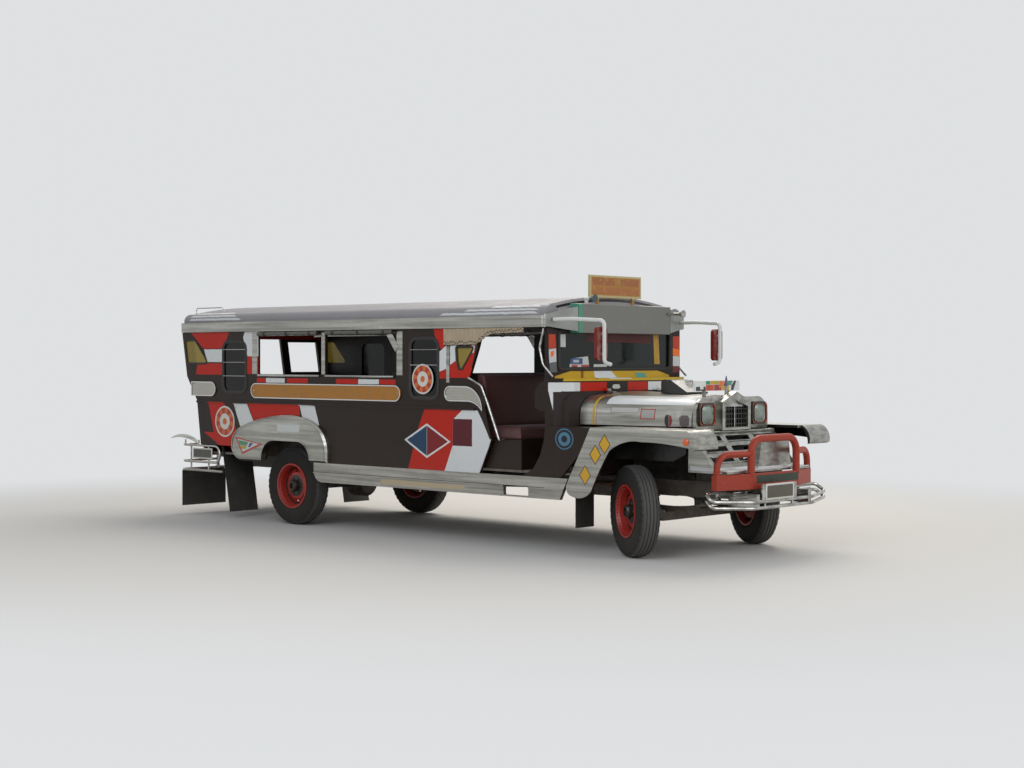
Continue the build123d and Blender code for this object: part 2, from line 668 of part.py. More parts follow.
# Cowl: foot-well sides and firewall below, a shouldered bulkhead behind the hood above, and the dash.
cowl_up_front = 3700
shelf_top = 1068
collar_back = 3440
collar_front = 3568
collar_half = 862
collar_top = 1368
collar_corner = 120
side_sweep = [(3125, sill_z + 1), (3560, sill_z + 1), (3830, 900), (3905, shelf_top), (3385, shelf_top),
              (3375, 960), (3330, 820), (3250, 700)]
with BuildPart() as cowl:
    for side in (-1, 1):
        skin = side_plane(side * cowl_low_half + (0 if side < 0 else cowl_sheet))
        slab(skin, stations(side_sweep), cowl_sheet)
    firewall = (at(cowl_up_front), at(cowl_up_front + cowl_sheet))
    block(firewall, (-cowl_low_half + 1, cowl_low_half - 1), (sill_z + 30, shelf_top))
    with BuildSketch(Plane.XY.offset(shelf_top - 24)) as shelf:
        with BuildLine():
            Polyline((at(3385), -cowl_low_half - cowl_sheet), (at(3905), -cowl_low_half - cowl_sheet),
                     (at(3905), -760), (at(3725), -760), (at(3725), 760), (at(3905), 760),
                     (at(3905), cowl_low_half + cowl_sheet), (at(3385), cowl_low_half + cowl_sheet),
                     close=True)
        make_face()
    extrude(shelf.sketch, amount=24)
    for inset, low, mode in ((0, shelf_top, Mode.ADD), (cowl_sheet, shelf_top - 28, Mode.SUBTRACT)):
        half = cowl_low_half + cowl_sheet - inset
        front = at(cowl_front - inset)
        with BuildSketch(Plane.XY.offset(low)) as bulkhead:
            with BuildLine():
                Line((at(3385) - 2 * inset, -half), (at(3420), -half))
                Line((at(3420), -half), (front, -hood_rear_half - 60 + inset / 2))
                Line((front, -hood_rear_half - 60 + inset / 2), (front, hood_rear_half + 60 - inset / 2))
                Line((front, hood_rear_half + 60 - inset / 2), (at(3420), half))
                Line((at(3420), half), (at(3385) - 2 * inset, half))
                Line((at(3385) - 2 * inset, half), (at(3385) - 2 * inset, -half))
            make_face()
        extrude(bulkhead.sketch, amount=window_sill_z + 5 - inset - low, mode=mode)
    for inset, mode in ((0, Mode.ADD), (cowl_sheet, Mode.SUBTRACT)):
        half = collar_half - inset
        with BuildSketch(cross_plane(at(collar_back - 2 * inset))) as collar:
            with BuildLine():
                Polyline((-half, shelf_top), (-half, collar_top - inset), (half, collar_top - inset),
                         (half, shelf_top), close=True)
            make_face()
            fillet(collar.vertices().group_by(Axis.Y)[-1], collar_corner - inset)
        extrude(collar.sketch, amount=collar_front - collar_back + inset, mode=mode)
    screen_foot = at(screen_x - 10)
    block((screen_foot, at(3440)), (-pillar_half, pillar_half), (window_sill_z - 20, window_sill_z + 5))
    dash = [(3240, 1230), (3300, 1200), (3390, 1200), (3390, 1460), (screen_x - 10, 1460), (3290, 1430),
            (3240, 1370)]
    slab(side_plane(cowl_low_half - 5), stations(dash), 2 * cowl_low_half - 10)
    hinge_x, hinge_z = at(hood_hinge[0]), hood_hinge[1]
    for side in (-1, 1):
        for ear in (-1, 1):
            y = side * 350 + ear * 31
            block((at(cowl_front) - 5, hinge_x + 8), (y - 5, y + 5), (hinge_z - 10, hinge_z + 10))
        rod((hinge_x, side * 350 - 30, hinge_z), (hinge_x, side * 350 + 30, hinge_z), 5)
save(cowl, "cowl")

# Hood: a U-shaped stainless shell that tapers forward and lifts at its back edge.
hood_shoulder = 160


def hood_section(half, top, inset):
    """Line of the hood's skin from one bottom edge over the top to the other."""
    side = half - inset
    crest = top - inset
    edge = hood_bottom if inset == 0 else hood_bottom - 10
    shoulder = hood_shoulder - inset
    return [
        Line((-side, edge), (side, edge)),
        Line((side, edge), (side, crest - 30 - shoulder)),
        ThreePointArc((side, crest - 30 - shoulder),
                      (side - 0.3 * shoulder, crest - 30 - 0.3 * shoulder),
                      (side - shoulder, crest - 30)),
        ThreePointArc((side - shoulder, crest - 30), (0, crest), (-side + shoulder, crest - 30)),
        ThreePointArc((-side + shoulder, crest - 30),
                      (-side + 0.3 * shoulder, crest - 30 - 0.3 * shoulder),
                      (-side, crest - 30 - shoulder)),
        Line((-side, crest - 30 - shoulder), (-side, edge)),
    ]


hood_drop = 24
with BuildPart() as hood:
    for inset, mode in ((0, Mode.ADD), (hood_sheet, Mode.SUBTRACT)):
        overrun = 0 if inset == 0 else 2
        ends = []
        for station, half, top in ((hood_back - overrun, hood_rear_half, hood_top),
                                   (hood_front + overrun, hood_front_half, hood_top - hood_drop)):
            with BuildSketch(cross_plane(at(station))) as end:
                with BuildLine():
                    add(hood_section(half, top, inset))
                make_face()
            ends.append(end.sketch)
        loft(ends, ruled=True, mode=mode)
    for side in (-1, 1):
        y_span = (side * 350 - 25, side * 350 + 25)
        block((hinge_x, hinge_x + 70), y_span, (hood_top - 24, hood_top + 4))
        barrel_start = (hinge_x, side * 350 - 25, hinge_z)
        barrel_end = (hinge_x, side * 350 + 25, hinge_z)
        block((hinge_x - 3, hinge_x + 14), y_span, (hood_top, hinge_z))
        rod(barrel_start, barrel_end, 9.5)
        rod(barrel_start, barrel_end, 5 + seat_gap, mode=Mode.SUBTRACT)
save(hood, "hood")

# Ornaments on the hood: an air scoop, a blank name board on two posts and a pointed finial.
with BuildPart() as hood_ornaments:
    scoop = [(4010, 1352), (4290, 1346), (4290, 1362), (4120, 1462), (4040, 1470), (4010, 1450)]
    slab(side_plane(150), stations(scoop), 300, 8)
    block((at(4480), at(4500)), (-320, 320), (1378, 1462))
    for y in (-180, 180):
        block((at(4478), at(4502)), (y - 12, y + 12), (1330, 1380))
    rod((at(4590), 0, 1333), (at(4590), 0, 1420), 14)
    with BuildSketch(Plane.XY.offset(1420)) as finial_base:
        with Locations((at(4590), 0)):
            Circle(20)
    extrude(finial_base.sketch, amount=85, taper=11)
    add(hood.part, mode=Mode.SUBTRACT)
save(hood_ornaments, "hood_ornaments")

# Front fenders: flat tops with a long tail down to the sill, and an inner wing beside the engine.
wing_inner = 612
nose_top = (at(4905), front_fender_top)
nose_swell = (at(4966), 1030)
nose_tip = (at(4990), 925)
with BuildPart() as front_fender:
    fender_y = -front_fender_half + wing_sheet
    with BuildSketch(side_plane(fender_y)) as tail:
        with BuildLine():
            toe, heel, arch_foot, arch_side, arch_crown, arch_nose = stations(
                [(3662, 600), (3720, 488), (3925, 545), (4120, 888), (4454, 972), (4930, 936)])
            Polyline(nose_top, (at(3914), front_fender_top), (at(3838), 927), toe)
            ThreePointArc(toe, (at(3664), 520), heel)
            ThreePointArc(heel, (at(3850), 490), arch_foot)
            ThreePointArc(arch_foot, (at(4030), 745), arch_side)
            ThreePointArc(arch_side, (at(4250), 954), arch_crown)
            ThreePointArc(arch_crown, (at(4700), 964), arch_nose)
            Line(arch_nose, nose_tip)
            ThreePointArc(nose_tip, nose_swell, nose_top)
        make_face()
    extrude(tail.sketch, amount=wing_sheet)
    fillet(front_fender.edges().filter_by(Axis.X).group_by(Axis.Y)[0], 16)
    top_span = (front_fender_top - wing_sheet, front_fender_top)
    block((at(3914), nose_top[0]), (fender_y - 4, -wing_inner), top_span)
    with BuildSketch(side_plane(-wing_inner - 60)) as nose:
        with BuildLine():
            inner_tip = (at(4968), 915)
            inner_top = (nose_top[0], front_fender_top - wing_sheet)
            ThreePointArc(nose_top, nose_swell, nose_tip)
            Polyline(nose_tip, inner_tip)
            ThreePointArc(inner_tip, (at(4944), 1012), inner_top)
            Line(inner_top, nose_top)
        make_face()
    extrude(nose.sketch, amount=front_fender_half - wing_inner - 68)
    inner_wing = [(3727, 800), (3727, 1042), (3914, 1042), (3914, 1060), (4625, 1060), (4625, 860),
                  (4500, 800)]
    slab(side_plane(-wing_inner), stations(inner_wing), 12)
save_both(front_fender, "front_fenders")

# Grille shell: lamp panel, two square lamp frames, and a peaked middle grille of bars.
lamp_half_width = 112
lamp_half_height = 95
peak_half = 205
grille_mesh_half = 165
grille_step = 70
with BuildPart() as grille:
    with BuildSketch(cross_plane(at(grille_x))) as shell:
        with BuildLine():
            Polyline((-grille_half, grille_bottom), (-grille_half, grille_top), (grille_half, grille_top),
                     (grille_half, grille_bottom), close=True)
        make_face()
        fillet(shell.vertices().group_by(Axis.Y)[-1], 150)
        fillet(shell.vertices().group_by(Axis.Y)[0], 30)
    extrude(shell.sketch, amount=26)
    chamfer(grille.faces().sort_by(Axis.X)[-1].edges(), 8)
    peak = [(-peak_half, grille_bottom), (peak_half, grille_bottom), (peak_half, 1290), (0, 1372),
            (-peak_half, 1290)]
    slab(cross_plane(at(grille_x)), peak, grille_step)
    mesh_hole = [(-grille_mesh_half, 1072), (grille_mesh_half, 1072), (grille_mesh_half, 1245),
                 (0, 1300), (-grille_mesh_half, 1245)]
    slab(cross_plane(at(grille_x - 1)), mesh_hole, grille_step + 2, mode=Mode.SUBTRACT)
    bar_x = (at(grille_x + 30), at(grille_x + 40))
    for step in range(-4, 5):
        y = step * 36
        bar_half = 8 if step == 0 else 4
        block(bar_x, (y - bar_half, y + bar_half), (1070, 1296 - abs(y) / 3))
    for step in range(4):
        z = 1100 + step * 42
        block(bar_x, (-grille_mesh_half - 1, grille_mesh_half + 1), (z - 4, z + 4))
    for side in (-1, 1):
        frame = [(side * lamp_y - lamp_half_width, lamp_z - lamp_half_height),
                 (side * lamp_y + lamp_half_width, lamp_z - lamp_half_height),
                 (side * lamp_y + lamp_half_width, lamp_z + lamp_half_height),
                 (side * lamp_y - lamp_half_width, lamp_z + lamp_half_height)]
        slab(cross_plane(at(grille_x + 20)), frame, 26, 44)
        inner = [(side * lamp_y - lamp_half_width + 14, lamp_z - lamp_half_height + 14),
                 (side * lamp_y + lamp_half_width - 14, lamp_z - lamp_half_height + 14),
                 (side * lamp_y + lamp_half_width - 14, lamp_z + lamp_half_height - 14),
                 (side * lamp_y - lamp_half_width + 14, lamp_z + lamp_half_height - 14)]
        slab(cross_plane(at(grille_x - 1)), inner, 80, 32, mode=Mode.SUBTRACT)
save(grille, "grille")

with BuildPart() as headlamps:
    for side in (-1, 1):
        half_w = lamp_half_width - 14 - seat_gap
        half_h = lamp_half_height - 14 - seat_gap
        body = [(side * lamp_y - half_w, lamp_z - half_h), (side * lamp_y + half_w, lamp_z - half_h),
                (side * lamp_y + half_w, lamp_z + half_h), (side * lamp_y - half_w, lamp_z + half_h)]
        slab(cross_plane(at(grille_x - 9)), body, 37, 32)
        rod((at(grille_x + 20), side * lamp_y, lamp_z), (at(grille_x + 36), side * lamp_y, lamp_z), 72)
save(headlamps, "headlamps")

# Front apron: a sloping louvred sheet under the grille, its side cheeks and the deck behind the bar.
apron_half = 600
deck_z = 740
deck_front = 5030
with BuildPart() as front_apron:
    face = [(4640, 1046), (4662, 1046), (4900, deck_z), (deck_front, deck_z), (deck_front, deck_z - 24),
            (4885, deck_z - 24)]
    slab(side_plane(apron_half), stations(face), 2 * apron_half)
    slope = Vector(238, 0, -306).normalized()
    normal = Vector(306, 0, 238).normalized()
    for row in range(3):
        for side in (-1, 0, 1):
            middle = Vector(at(4662), side * 390, 1046) + slope * (75 + row * 105)
            louvre = Plane(origin=middle + normal * 10, x_dir=(0, 1, 0), z_dir=-normal)
            with BuildSketch(louvre) as slot:
                SlotOverall(300 if side else 330, 42)
            extrude(slot.sketch, amount=60, mode=Mode.SUBTRACT)
    cheek = face[:-1] + [(4640, deck_z - 24)]
    for y in (-apron_half + 12, apron_half):
        slab(side_plane(y), stations(cheek), 12)
    for y in (-rail_y, rail_y):
        block((at(4830), at(4890)), (y - 20, y + 20), (rail_top + seat_gap, deck_z - 22))
    rod((at(4676), -apron_half + 20, 1036), (at(4676), apron_half - 20, 1036), 12)
    deck_box = [(-75, deck_z - 1), (413, deck_z - 1), (386, 958), (-26, 958)]
    slab(cross_plane(at(4905)), deck_box, 62, 10)
save(front_apron, "front_apron")

# Bull bar: a deep painted beam on the rail ends, with low outer hoops and a taller middle one.
bar_x = 4990
with BuildPart() as bull_bar:
    beam_plan = [(bar_x, -690), (bar_x + 110, -330), (bar_x + 110, 330), (bar_x, 690), (bar_x - 50, 690),
                 (bar_x + 60, 310), (bar_x + 60, -310), (bar_x - 50, -690)]
    with BuildSketch(Plane.XY.offset(585)) as beam_face:
        with BuildLine():
            Polyline(*[(at(x), y) for x, y in beam_plan], close=True)
        make_face()
    extrude(beam_face.sketch, amount=125)
    hoop_x = at(bar_x + 85)
    tube([(hoop_x, -330, 690), (hoop_x, -330, 995), (hoop_x, 330, 995), (hoop_x, 330, 690)], 31, 125)
    for side in (-1, 1):
        tube([(at(bar_x - 20), side * 660, 690), (at(bar_x - 20), side * 660, 873),
              (at(bar_x + 80), side * 330, 873)], 28, 120)
        mount_y = sorted((side * (rail_inner + 8), side * (rail_inner + 52)))
        block((at(frame_front + seat_gap), at(bar_x + 65)), mount_y, (590, 628))
save(bull_bar, "bull_bar")

# Front bumper: two thin tubes bowed across the nose and swept up and back at their ends, chrome slats
# above them, and the number plate's carrier.
bumper_tube = 15
bumper_rails = (438, 488)
bumper_rise = 78
plate_y = -80
plate_z = 565
carrier_sheet = 6
carrier_spacing_y = 300
carrier_spacing_z = 110
carrier_hole = 4
with BuildPart() as front_bumper:
    for rail_z in bumper_rails:
        right_half = [(4895, -560, rail_z + bumper_rise), (4965, -800, rail_z + bumper_rise),
                      (5042, -832, rail_z + 18), (5171, -430, rail_z)]
        left_half = [(x, -y, z) for x, y, z in reversed(right_half)]
        tube([(at(x), y, z) for x, y, z in right_half + left_half], bumper_tube, 44)
    for side in (-1, 1):
        mount_y = sorted((side * (rail_inner + 8), side * (rail_inner + 52)))
        block((at(frame_front + seat_gap), at(5178)), mount_y, (440, 550))
        block((at(5056), at(5076)), sorted((side * 372, side * 388)), (500, 574))
        arm_span = sorted((side * (rail_inner + 8), side * 575))
        block((at(frame_front + seat_gap), at(4925)), arm_span, (516, 568))
    for step in range(4):
        slat_z = 514 + step * 18
        block((at(5062), at(5074)), (-560, 560), (slat_z - 4, slat_z + 4))
    carrier_x = (at(5174), at(5180 + carrier_sheet))
    block(carrier_x, (plate_y - 250, plate_y + 250), (plate_z - 65, plate_z + 65))
    for y in (plate_y - 200, plate_y + 200):
        block((at(5166), at(5180)), (y - 10, y + 10), (440, plate_z - 40))
    with BuildSketch(cross_plane(at(5170))) as bolt_holes:
        with Locations((plate_y, plate_z)):
            with GridLocations(carrier_spacing_y, carrier_spacing_z, 2, 2):
                Circle(carrier_hole)
    extrude(bolt_holes.sketch, amount=30, mode=Mode.SUBTRACT)
save(front_bumper, "front_bumper")

# Windscreen frame between the cowl and the roof.
with BuildPart() as windscreen_frame:
    frame_z = (window_sill_z + 5 + seat_gap, eave_z)
    outer = [(-pillar_half, frame_z[0]), (pillar_half, frame_z[0]), (pillar_half, frame_z[1]),
             (-pillar_half, frame_z[1])]
    opening = [(-screen_half, 1560), (screen_half, 1560), (screen_half, 1890), (-screen_half, 1890)]
    slab(cross_plane(at(screen_x)), outer, 40)
    slab(cross_plane(at(screen_x - 1)), opening, 42, mode=Mode.SUBTRACT)
save(windscreen_frame, "windscreen_frame")

# Visor box over the windscreen, the blank route sign above it, and two air horns.
with BuildPart() as visor_box:
    low_x = roof_front + seat_gap
    lean = [(low_x, visor_bottom), (low_x + visor_depth, visor_bottom), (low_x + visor_depth, visor_top),
            (low_x, visor_top + 10)]
    slab(side_plane(visor_half), stations(lean), 2 * visor_half, 6)
save(visor_box, "visor_box")

with BuildPart() as route_sign:
    block((at(3360), at(3384)), (-360, 360), (2192, 2390))
    for y in (-250, 250):
        block((at(3362), at(3382)), (y - 14, y + 14), (2130, 2200))
    add(roof.part, mode=Mode.SUBTRACT)
save(route_sign, "route_sign")

# Air horns, columns: bell station, side, height, trumpet length.
horn_bell = 36
horns_at = [(3620, visor_half + 44, visor_top - 63, 112), (3560, -500, visor_top + 50, 120)]
with BuildPart() as horns:
    for bell_station, y, z, length in horns_at:
        rod((at(bell_station - length), y, z), (at(bell_station - 50), y, z), 13)
        bell = Plane(origin=(at(bell_station - 50), y, z), x_dir=(0, 1, 0), z_dir=(1, 0, 0))
        with BuildSketch(bell) as throat:
            Circle(13)
        with BuildSketch(bell.offset(50)) as mouth:
            Circle(horn_bell)
        loft([throat.sketch, mouth.sketch])
    bell_station, y, z, length = horns_at[0]
    visor_face = at(roof_front + visor_depth + 2 * seat_gap)
    block((visor_face, visor_face + 14), (visor_half - 60, y), (z - 8, z + 8))
    bell_station, y, z, length = horns_at[1]
    block((at(3445), at(3475)), (y - 8, y + 8), (visor_top + 8, z))
    add(visor_box.part, mode=Mode.SUBTRACT)
save(horns, "horns")

# Mirrors: bent tubular arms off the roof corners, each with its housing behind the drop of the arm.
mirror_x = 3930
arm_y = 825
arm_radius = 17
with BuildPart() as door_mirror:
    tube([(at(roof_front + 31), -905, 1985), (at(3640), -880, 1985), (at(mirror_x), -arm_y, 1970),
          (at(mirror_x), -arm_y, 1615), (at(mirror_x), -740, 1600)], arm_radius, 45)
    back = at(mirror_x) - arm_radius - 3
    with BuildSketch(cross_plane(back - 34)) as housing:
        with Locations((-arm_y, 1775)):
            RectangleRounded(136, 285, 34)
    extrude(housing.sketch, amount=34)
    chamfer(door_mirror.faces().sort_by(Axis.X)[0].edges(), 5)
    block((back - 1, at(mirror_x)), (-arm_y - 10, -arm_y + 10), (1680, 1700))
    block((back - 1, at(mirror_x)), (-arm_y - 10, -arm_y + 10), (1850, 1870))
save_both(door_mirror, "mirrors")

# Grab rails: doorway rails, window sill tubes, windscreen corner tubes and the overhead handrails.
rail_face = body_half + seat_gap
handrail_y = 450
handrail_z = 1900
with BuildPart() as grab_rails:
    for side in (-1, 1):
        door_y = side * (rail_face + 11)
        tube([(at(2500), door_y, 1478), (at(2657), door_y, 1412), (at(2722), door_y, 1284),
              (at(2876), door_y, 937)], 11, 70)
        rod((at(2876), door_y, 940), (at(2876), side * 921, 940), 9)
        for back, front in ((-455, 485), (577, 1535)):
            sill_y = side * (rail_face + 12)
            rod((at(back), sill_y, 1480), (at(front), sill_y, 1480), 12)
        corner_y = side * (pillar_half + 10 + seat_gap)
        tube([(at(screen_x - 3), corner_y, eave_z - 8), (at(screen_x - 50), corner_y, 1745),
              (at(screen_x - 10), corner_y, 1600), (at(3462), corner_y, window_sill_z + 17)], 10, 90)
        rod((at(-1250), side * handrail_y, handrail_z), (at(2560), side * handrail_y, handrail_z), 14)
        for station in (-1200, 60, 1320, 2520):
            hanger = (at(station), side * handrail_y)
            rod((*hanger, handrail_z), (*hanger, 2172), 9)
    add(roof.part, mode=Mode.SUBTRACT)
save(grab_rails, "grab_rails")

# Benches: two long ones over the wheel houses and one across the front, on sheet and board bases.
bench_back = -1330
bench_front = 2130
bench_inner = 560
bench_top = 1030
board = 18
front_seat_back = 2560
front_seat_front = 3077
front_seat_top = 940
with BuildPart() as seat_bases:
    for side in (-1, 1):
        kick = sorted((side * (bench_inner + 40), side * (bench_inner + 40 + board)))
        deck_y = sorted((side * bench_inner, side * (skin_inner - 2)))
        block((at(bench_back), at(bench_front)), kick, (floor_z + seat_gap, bench_top))
        block((at(bench_back), at(bench_front)), deck_y, (bench_top, bench_top + board))
    seat_half = body_half - 57
    block((at(front_seat_back), at(front_seat_front)), (-seat_half, seat_half),
          (floor_z + seat_gap, front_seat_top))
    box_half = seat_half - board
    block((at(front_seat_back + board), at(front_seat_front - board)), (-box_half, box_half),
          (floor_z, front_seat_top - board), mode=Mode.SUBTRACT)
    back_board = [(2520, 960), (2538, 960), (2480, 1520), (2462, 1520)]
    slab(side_plane(seat_half - 20), stations(back_board), 2 * seat_half - 40)
    for y in (-700, 0, 700):
        block((at(2490), at(2575)), (y - 20, y + 20), (floor_z + seat_gap, 985))
save(seat_bases, "seat_bases")

pad_thick = 75
with BuildPart() as bench_cushion:
    pad_z = (bench_top + board + seat_gap, bench_top + board + pad_thick)
    block((at(bench_back + 10), at(bench_front - 10)), (-skin_inner + 30, -bench_inner - 5), pad_z)
    fillet(bench_cushion.edges().filter_by(Axis.X), 18)
    block((at(bench_back + 60), at(bench_front - 60)), (-skin_inner, -skin_inner + 45), (1160, 1440))
save_pair(bench_cushion, "bench_cushion")

with BuildPart() as front_seat_cushion:
    seat_z = (front_seat_top + seat_gap, front_seat_top + 115)
    block((at(front_seat_back + 50), at(front_seat_front - 12)), (-seat_half + 10, seat_half - 10), seat_z)
    fillet(front_seat_cushion.edges().filter_by(Axis.Y), 25)
save(front_seat_cushion, "front_seat_cushion")

with BuildPart() as front_seat_back_pad:
    lean = [(2539, 985), (2600, 1062), (2622, 1080), (2575, 1500), (2540, 1530), (2482, 1518)]
    slab(side_plane(seat_half - 30), stations(lean), 2 * seat_half - 60)
save(front_seat_back_pad, "front_seat_back")

# Steering column and wheel, on the left.
column_foot = Vector(at(cowl_up_front - seat_gap - 12), 450, 850)
column_head = Vector(at(3050), 450, 1280)
steering_radius = 195
with BuildPart() as steering_column:
    rod(column_foot, column_head, 20)
    column_line = (column_head - column_foot).normalized()
    with Locations(Plane(origin=column_head, z_dir=column_line).location):
        Torus(steering_radius, 13)
    rod(column_head - column_line * 5, column_head + column_line * 30, 42)
    spoke_up = column_line.cross(Vector(0, 1, 0))
    for spoke in (Vector(0, 1, 0), Vector(0, -1, 0), spoke_up if spoke_up.Z < 0 else -spoke_up):
        rod(column_head + column_line * 6, column_head + column_line * 2 + spoke * steering_radius, 9)
save(steering_column, "steering_column")

# Mud flaps: slanted ones behind the rear wheels, upright ones behind the front wheels and at the rear step.
flap_sheet = 8
step_tube_x = -1770
step_tube_z = 476
with BuildPart() as mudflap:
    floor_under = floor_z - floor_sheet - seat_gap
    for near, far, top in ((600, skin_inner + 1, floor_under), (skin_inner + seat_gap, body_half - 9, overhang_z - 2)):
        lean = (overhang_z - top) / 5
        flap = [(-1070 + lean, top), (-1062 + lean, top), (-934, 72), (-942, 72)]
        slab(side_plane(-near), stations(flap), far - near)
    front_flap_x = at(cowl_up_front + cowl_sheet + seat_gap)
    block((front_flap_x, front_flap_x + flap_sheet), (-front_fender_half + 35, -720), (220, 760))
    block((at(step_tube_x - 4), at(step_tube_x + 4)), (-body_half + 25, -380),
          (88, step_tube_z - 13 - seat_gap))
save_both(mudflap, "mudflaps")

# Rear step and bumper: tubular side frames round the corners, a step plate, and a pair of fins.
frame_tube = 13
corner_y = body_half - 15
loop_low = 567
loop_high = 738
loop_front = -1112
with BuildPart() as rear_bumper:
    step_front = at(frame_back - seat_gap)
    back = at(step_tube_x)
    block((at(step_tube_x - 20), step_front), (-500, 500), (478, 496))
    block((at(frame_back - 40), step_front), (-rail_y - 30, rail_y + 30), (478, 600))
    for side in (-1, 1):
        y = side * corner_y
        inner_y = side * 480
        tube([(back, inner_y, loop_high), (back, y, loop_high), (at(loop_front), y, loop_high),
              (at(loop_front), y, loop_low), (back, y, loop_low), (back, inner_y, loop_low)], frame_tube, 84)
        tube([(back, inner_y, step_tube_z), (back, y, step_tube_z), (at(-1060), y, step_tube_z)],
             frame_tube, 60)
        for station in (-1600, -1300):
            rod((at(station), y, step_tube_z), (at(station), y, loop_high), 9)
        rod((back, inner_y, step_tube_z - 6), (back, inner_y, loop_high + 12), 18)
        with BuildSketch(side_plane(y + 14)) as fin:
            with BuildLine():
                tail, tip = stations([(-1950, 797), (-1432, loop_high)])
                ThreePointArc(tail, (at(-1640), 838), tip)
                ThreePointArc(tip, (at(-1640), 802), tail)
            make_face()
        extrude(fin.sketch, amount=28)
        for station in (-1700, -1470):
            rod((at(station), y, loop_high), (at(station), y, 794), 9)
        block((at(-1560), at(-1230)), sorted((y + side * 6, y + side * 12)), (600, 712))
        sheet_y = sorted((side * 390, side * 760))
        block((back - 16, back - 11), sheet_y, (262, step_tube_z))
save(rear_bumper, "rear_bumper")

# Side signs: blank panels in raised rims along the belt: a long pill, a half-round tab and a leaf.
sign_thick = 14
sign_rim = 10


def pill(back, front, low, high, round_back):
    """Draws a level panel with a round front end and a round or square back end."""
    half = (high - low) / 2
    nose = at(front) - half
    heel = at(back) + (half if round_back else 0)
    Line((heel, high), (nose, high))
    ThreePointArc((nose, high), (nose + half, low + half), (nose, low))
    Line((nose, low), (heel, low))
    if round_back:
        ThreePointArc((heel, low), (heel - half, low + half), (heel, high))
    else:
        Line((heel, low), (heel, high))


def leaf(back, front, low, high, drop):
    """Draws a panel with a round back end whose front end curves down to a point."""
    half = (high - low) / 2
    heel = at(back) + half
    tip = (at(front), low - drop)
    Line((heel, high), (at(front - 200), high))
    ThreePointArc((at(front - 200), high), (at(front - 68), high - 58), tip)
    ThreePointArc(tip, (at(front - 78), low - 24), (at(front - 190), low))
    Line((at(front - 190), low), (heel, low))
    ThreePointArc((heel, low), (heel - half, low + half), (heel, high))


with BuildPart() as side_sign:
    for draw, sizes in ((pill, (-570, 1620, 1250, 1400, True)), (pill, (-1563, -1150, 1258, 1408, False)),
                        (leaf, (2196, 2668, 1266, 1403, 86))):
        for shrink, start, mode in ((0, 0, Mode.ADD), (sign_rim, 8, Mode.SUBTRACT)):
            with BuildSketch(side_plane(-body_half - seat_gap - start)) as face:
                with BuildLine():
                    draw(*sizes)
                make_face()
                if shrink:
                    offset(amount=-shrink, kind=Kind.INTERSECTION)
            extrude(face.sketch, amount=sign_thick, mode=mode)
save_both(side_sign, "side_signs")

# Curtains, soft: the gathered valance over each front doorway and the rolled rain curtains.
with BuildPart() as curtain:
    valance = [(2180, eave_z), (3160, eave_z), (3160, 1872), (2740, 1862), (2600, 1768), (2180, 1765)]
    slab(side_plane(-body_half - 3), stations(valance), 14)
    for back, front in ((-440, 470), (590, 1530)):
        roll_y = -body_half - 24 - seat_gap
        rod((at(back), roll_y, eave_z - 24), (at(front), roll_y, eave_z - 24), 22)
save_both(curtain, "curtains")
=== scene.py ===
# A jeepney on a studio floor. The sections follow the vehicle as it is put together.
# X runs forward, Y to the vehicle's left, Z up, in metres; stations count forward from the rear axle.
import bpy
import bmesh
import random
from itertools import product
from math import cos, pi, radians, sin
from mathutils import Matrix, Vector


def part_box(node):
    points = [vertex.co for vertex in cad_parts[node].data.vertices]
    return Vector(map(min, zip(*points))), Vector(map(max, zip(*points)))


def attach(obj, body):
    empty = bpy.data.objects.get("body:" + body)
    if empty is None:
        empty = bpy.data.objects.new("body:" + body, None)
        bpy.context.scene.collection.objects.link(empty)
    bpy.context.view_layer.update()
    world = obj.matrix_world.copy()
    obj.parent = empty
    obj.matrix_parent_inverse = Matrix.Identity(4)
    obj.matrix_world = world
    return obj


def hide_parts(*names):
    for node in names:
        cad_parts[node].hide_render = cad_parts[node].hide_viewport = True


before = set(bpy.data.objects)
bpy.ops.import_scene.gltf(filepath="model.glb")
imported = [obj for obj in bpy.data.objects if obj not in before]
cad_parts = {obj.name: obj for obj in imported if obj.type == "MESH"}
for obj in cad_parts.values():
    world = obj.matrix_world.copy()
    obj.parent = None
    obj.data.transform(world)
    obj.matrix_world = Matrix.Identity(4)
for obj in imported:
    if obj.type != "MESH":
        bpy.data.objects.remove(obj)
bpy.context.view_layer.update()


# Studio: a pale floor that runs out to a pale surround, two large soft lamps and the camera.
# The camera stands where the photographer stood, beside the right-hand front corner.
def linear(colour):
    """Linear RGBA of an sRGB colour written as hex."""
    shares = [int(colour[start:start + 2], 16) / 255 for start in (1, 3, 5)]
    return tuple(s / 12.92 if s <= 0.04045 else ((s + 0.055) / 1.055) ** 2.4 for s in shares) + (1.0,)


def wire(node, sockets):
    """Sets or links a node's sockets. A node given as a value stands for its first live output, and
    a hex colour for its linear shares."""
    for name, value in sockets.items():
        if isinstance(value, str):
            value = linear(value)
        if isinstance(value, bpy.types.Node):
            value = next(output for output in value.outputs if output.enabled)
        if isinstance(value, bpy.types.NodeSocket):
            node.id_data.links.new(value, node.inputs[name])
        else:
            node.inputs[name].default_value = value


def add_node(tree, kind, *inputs, **settings):
    """Adds a node. A second word in its kind is its operation or data type. Inputs go to its live
    sockets in order, or as a dictionary says. Settings are its values, or else its named sockets."""
    kind, *mode = kind.split()
    new = tree.nodes.new(kind if "Node" in kind else "ShaderNode" + kind)
    if mode:
        setattr(new, "operation" if hasattr(new, "operation") else "data_type", mode[0])
    for name in [name for name in settings if hasattr(new, name)]:
        setattr(new, name, settings.pop(name))
    live = [number for number, socket in enumerate(new.inputs) if socket.enabled]
    for value in inputs:
        wire(new, value if isinstance(value, dict) else {live.pop(0): value})
    wire(new, settings)
    return new


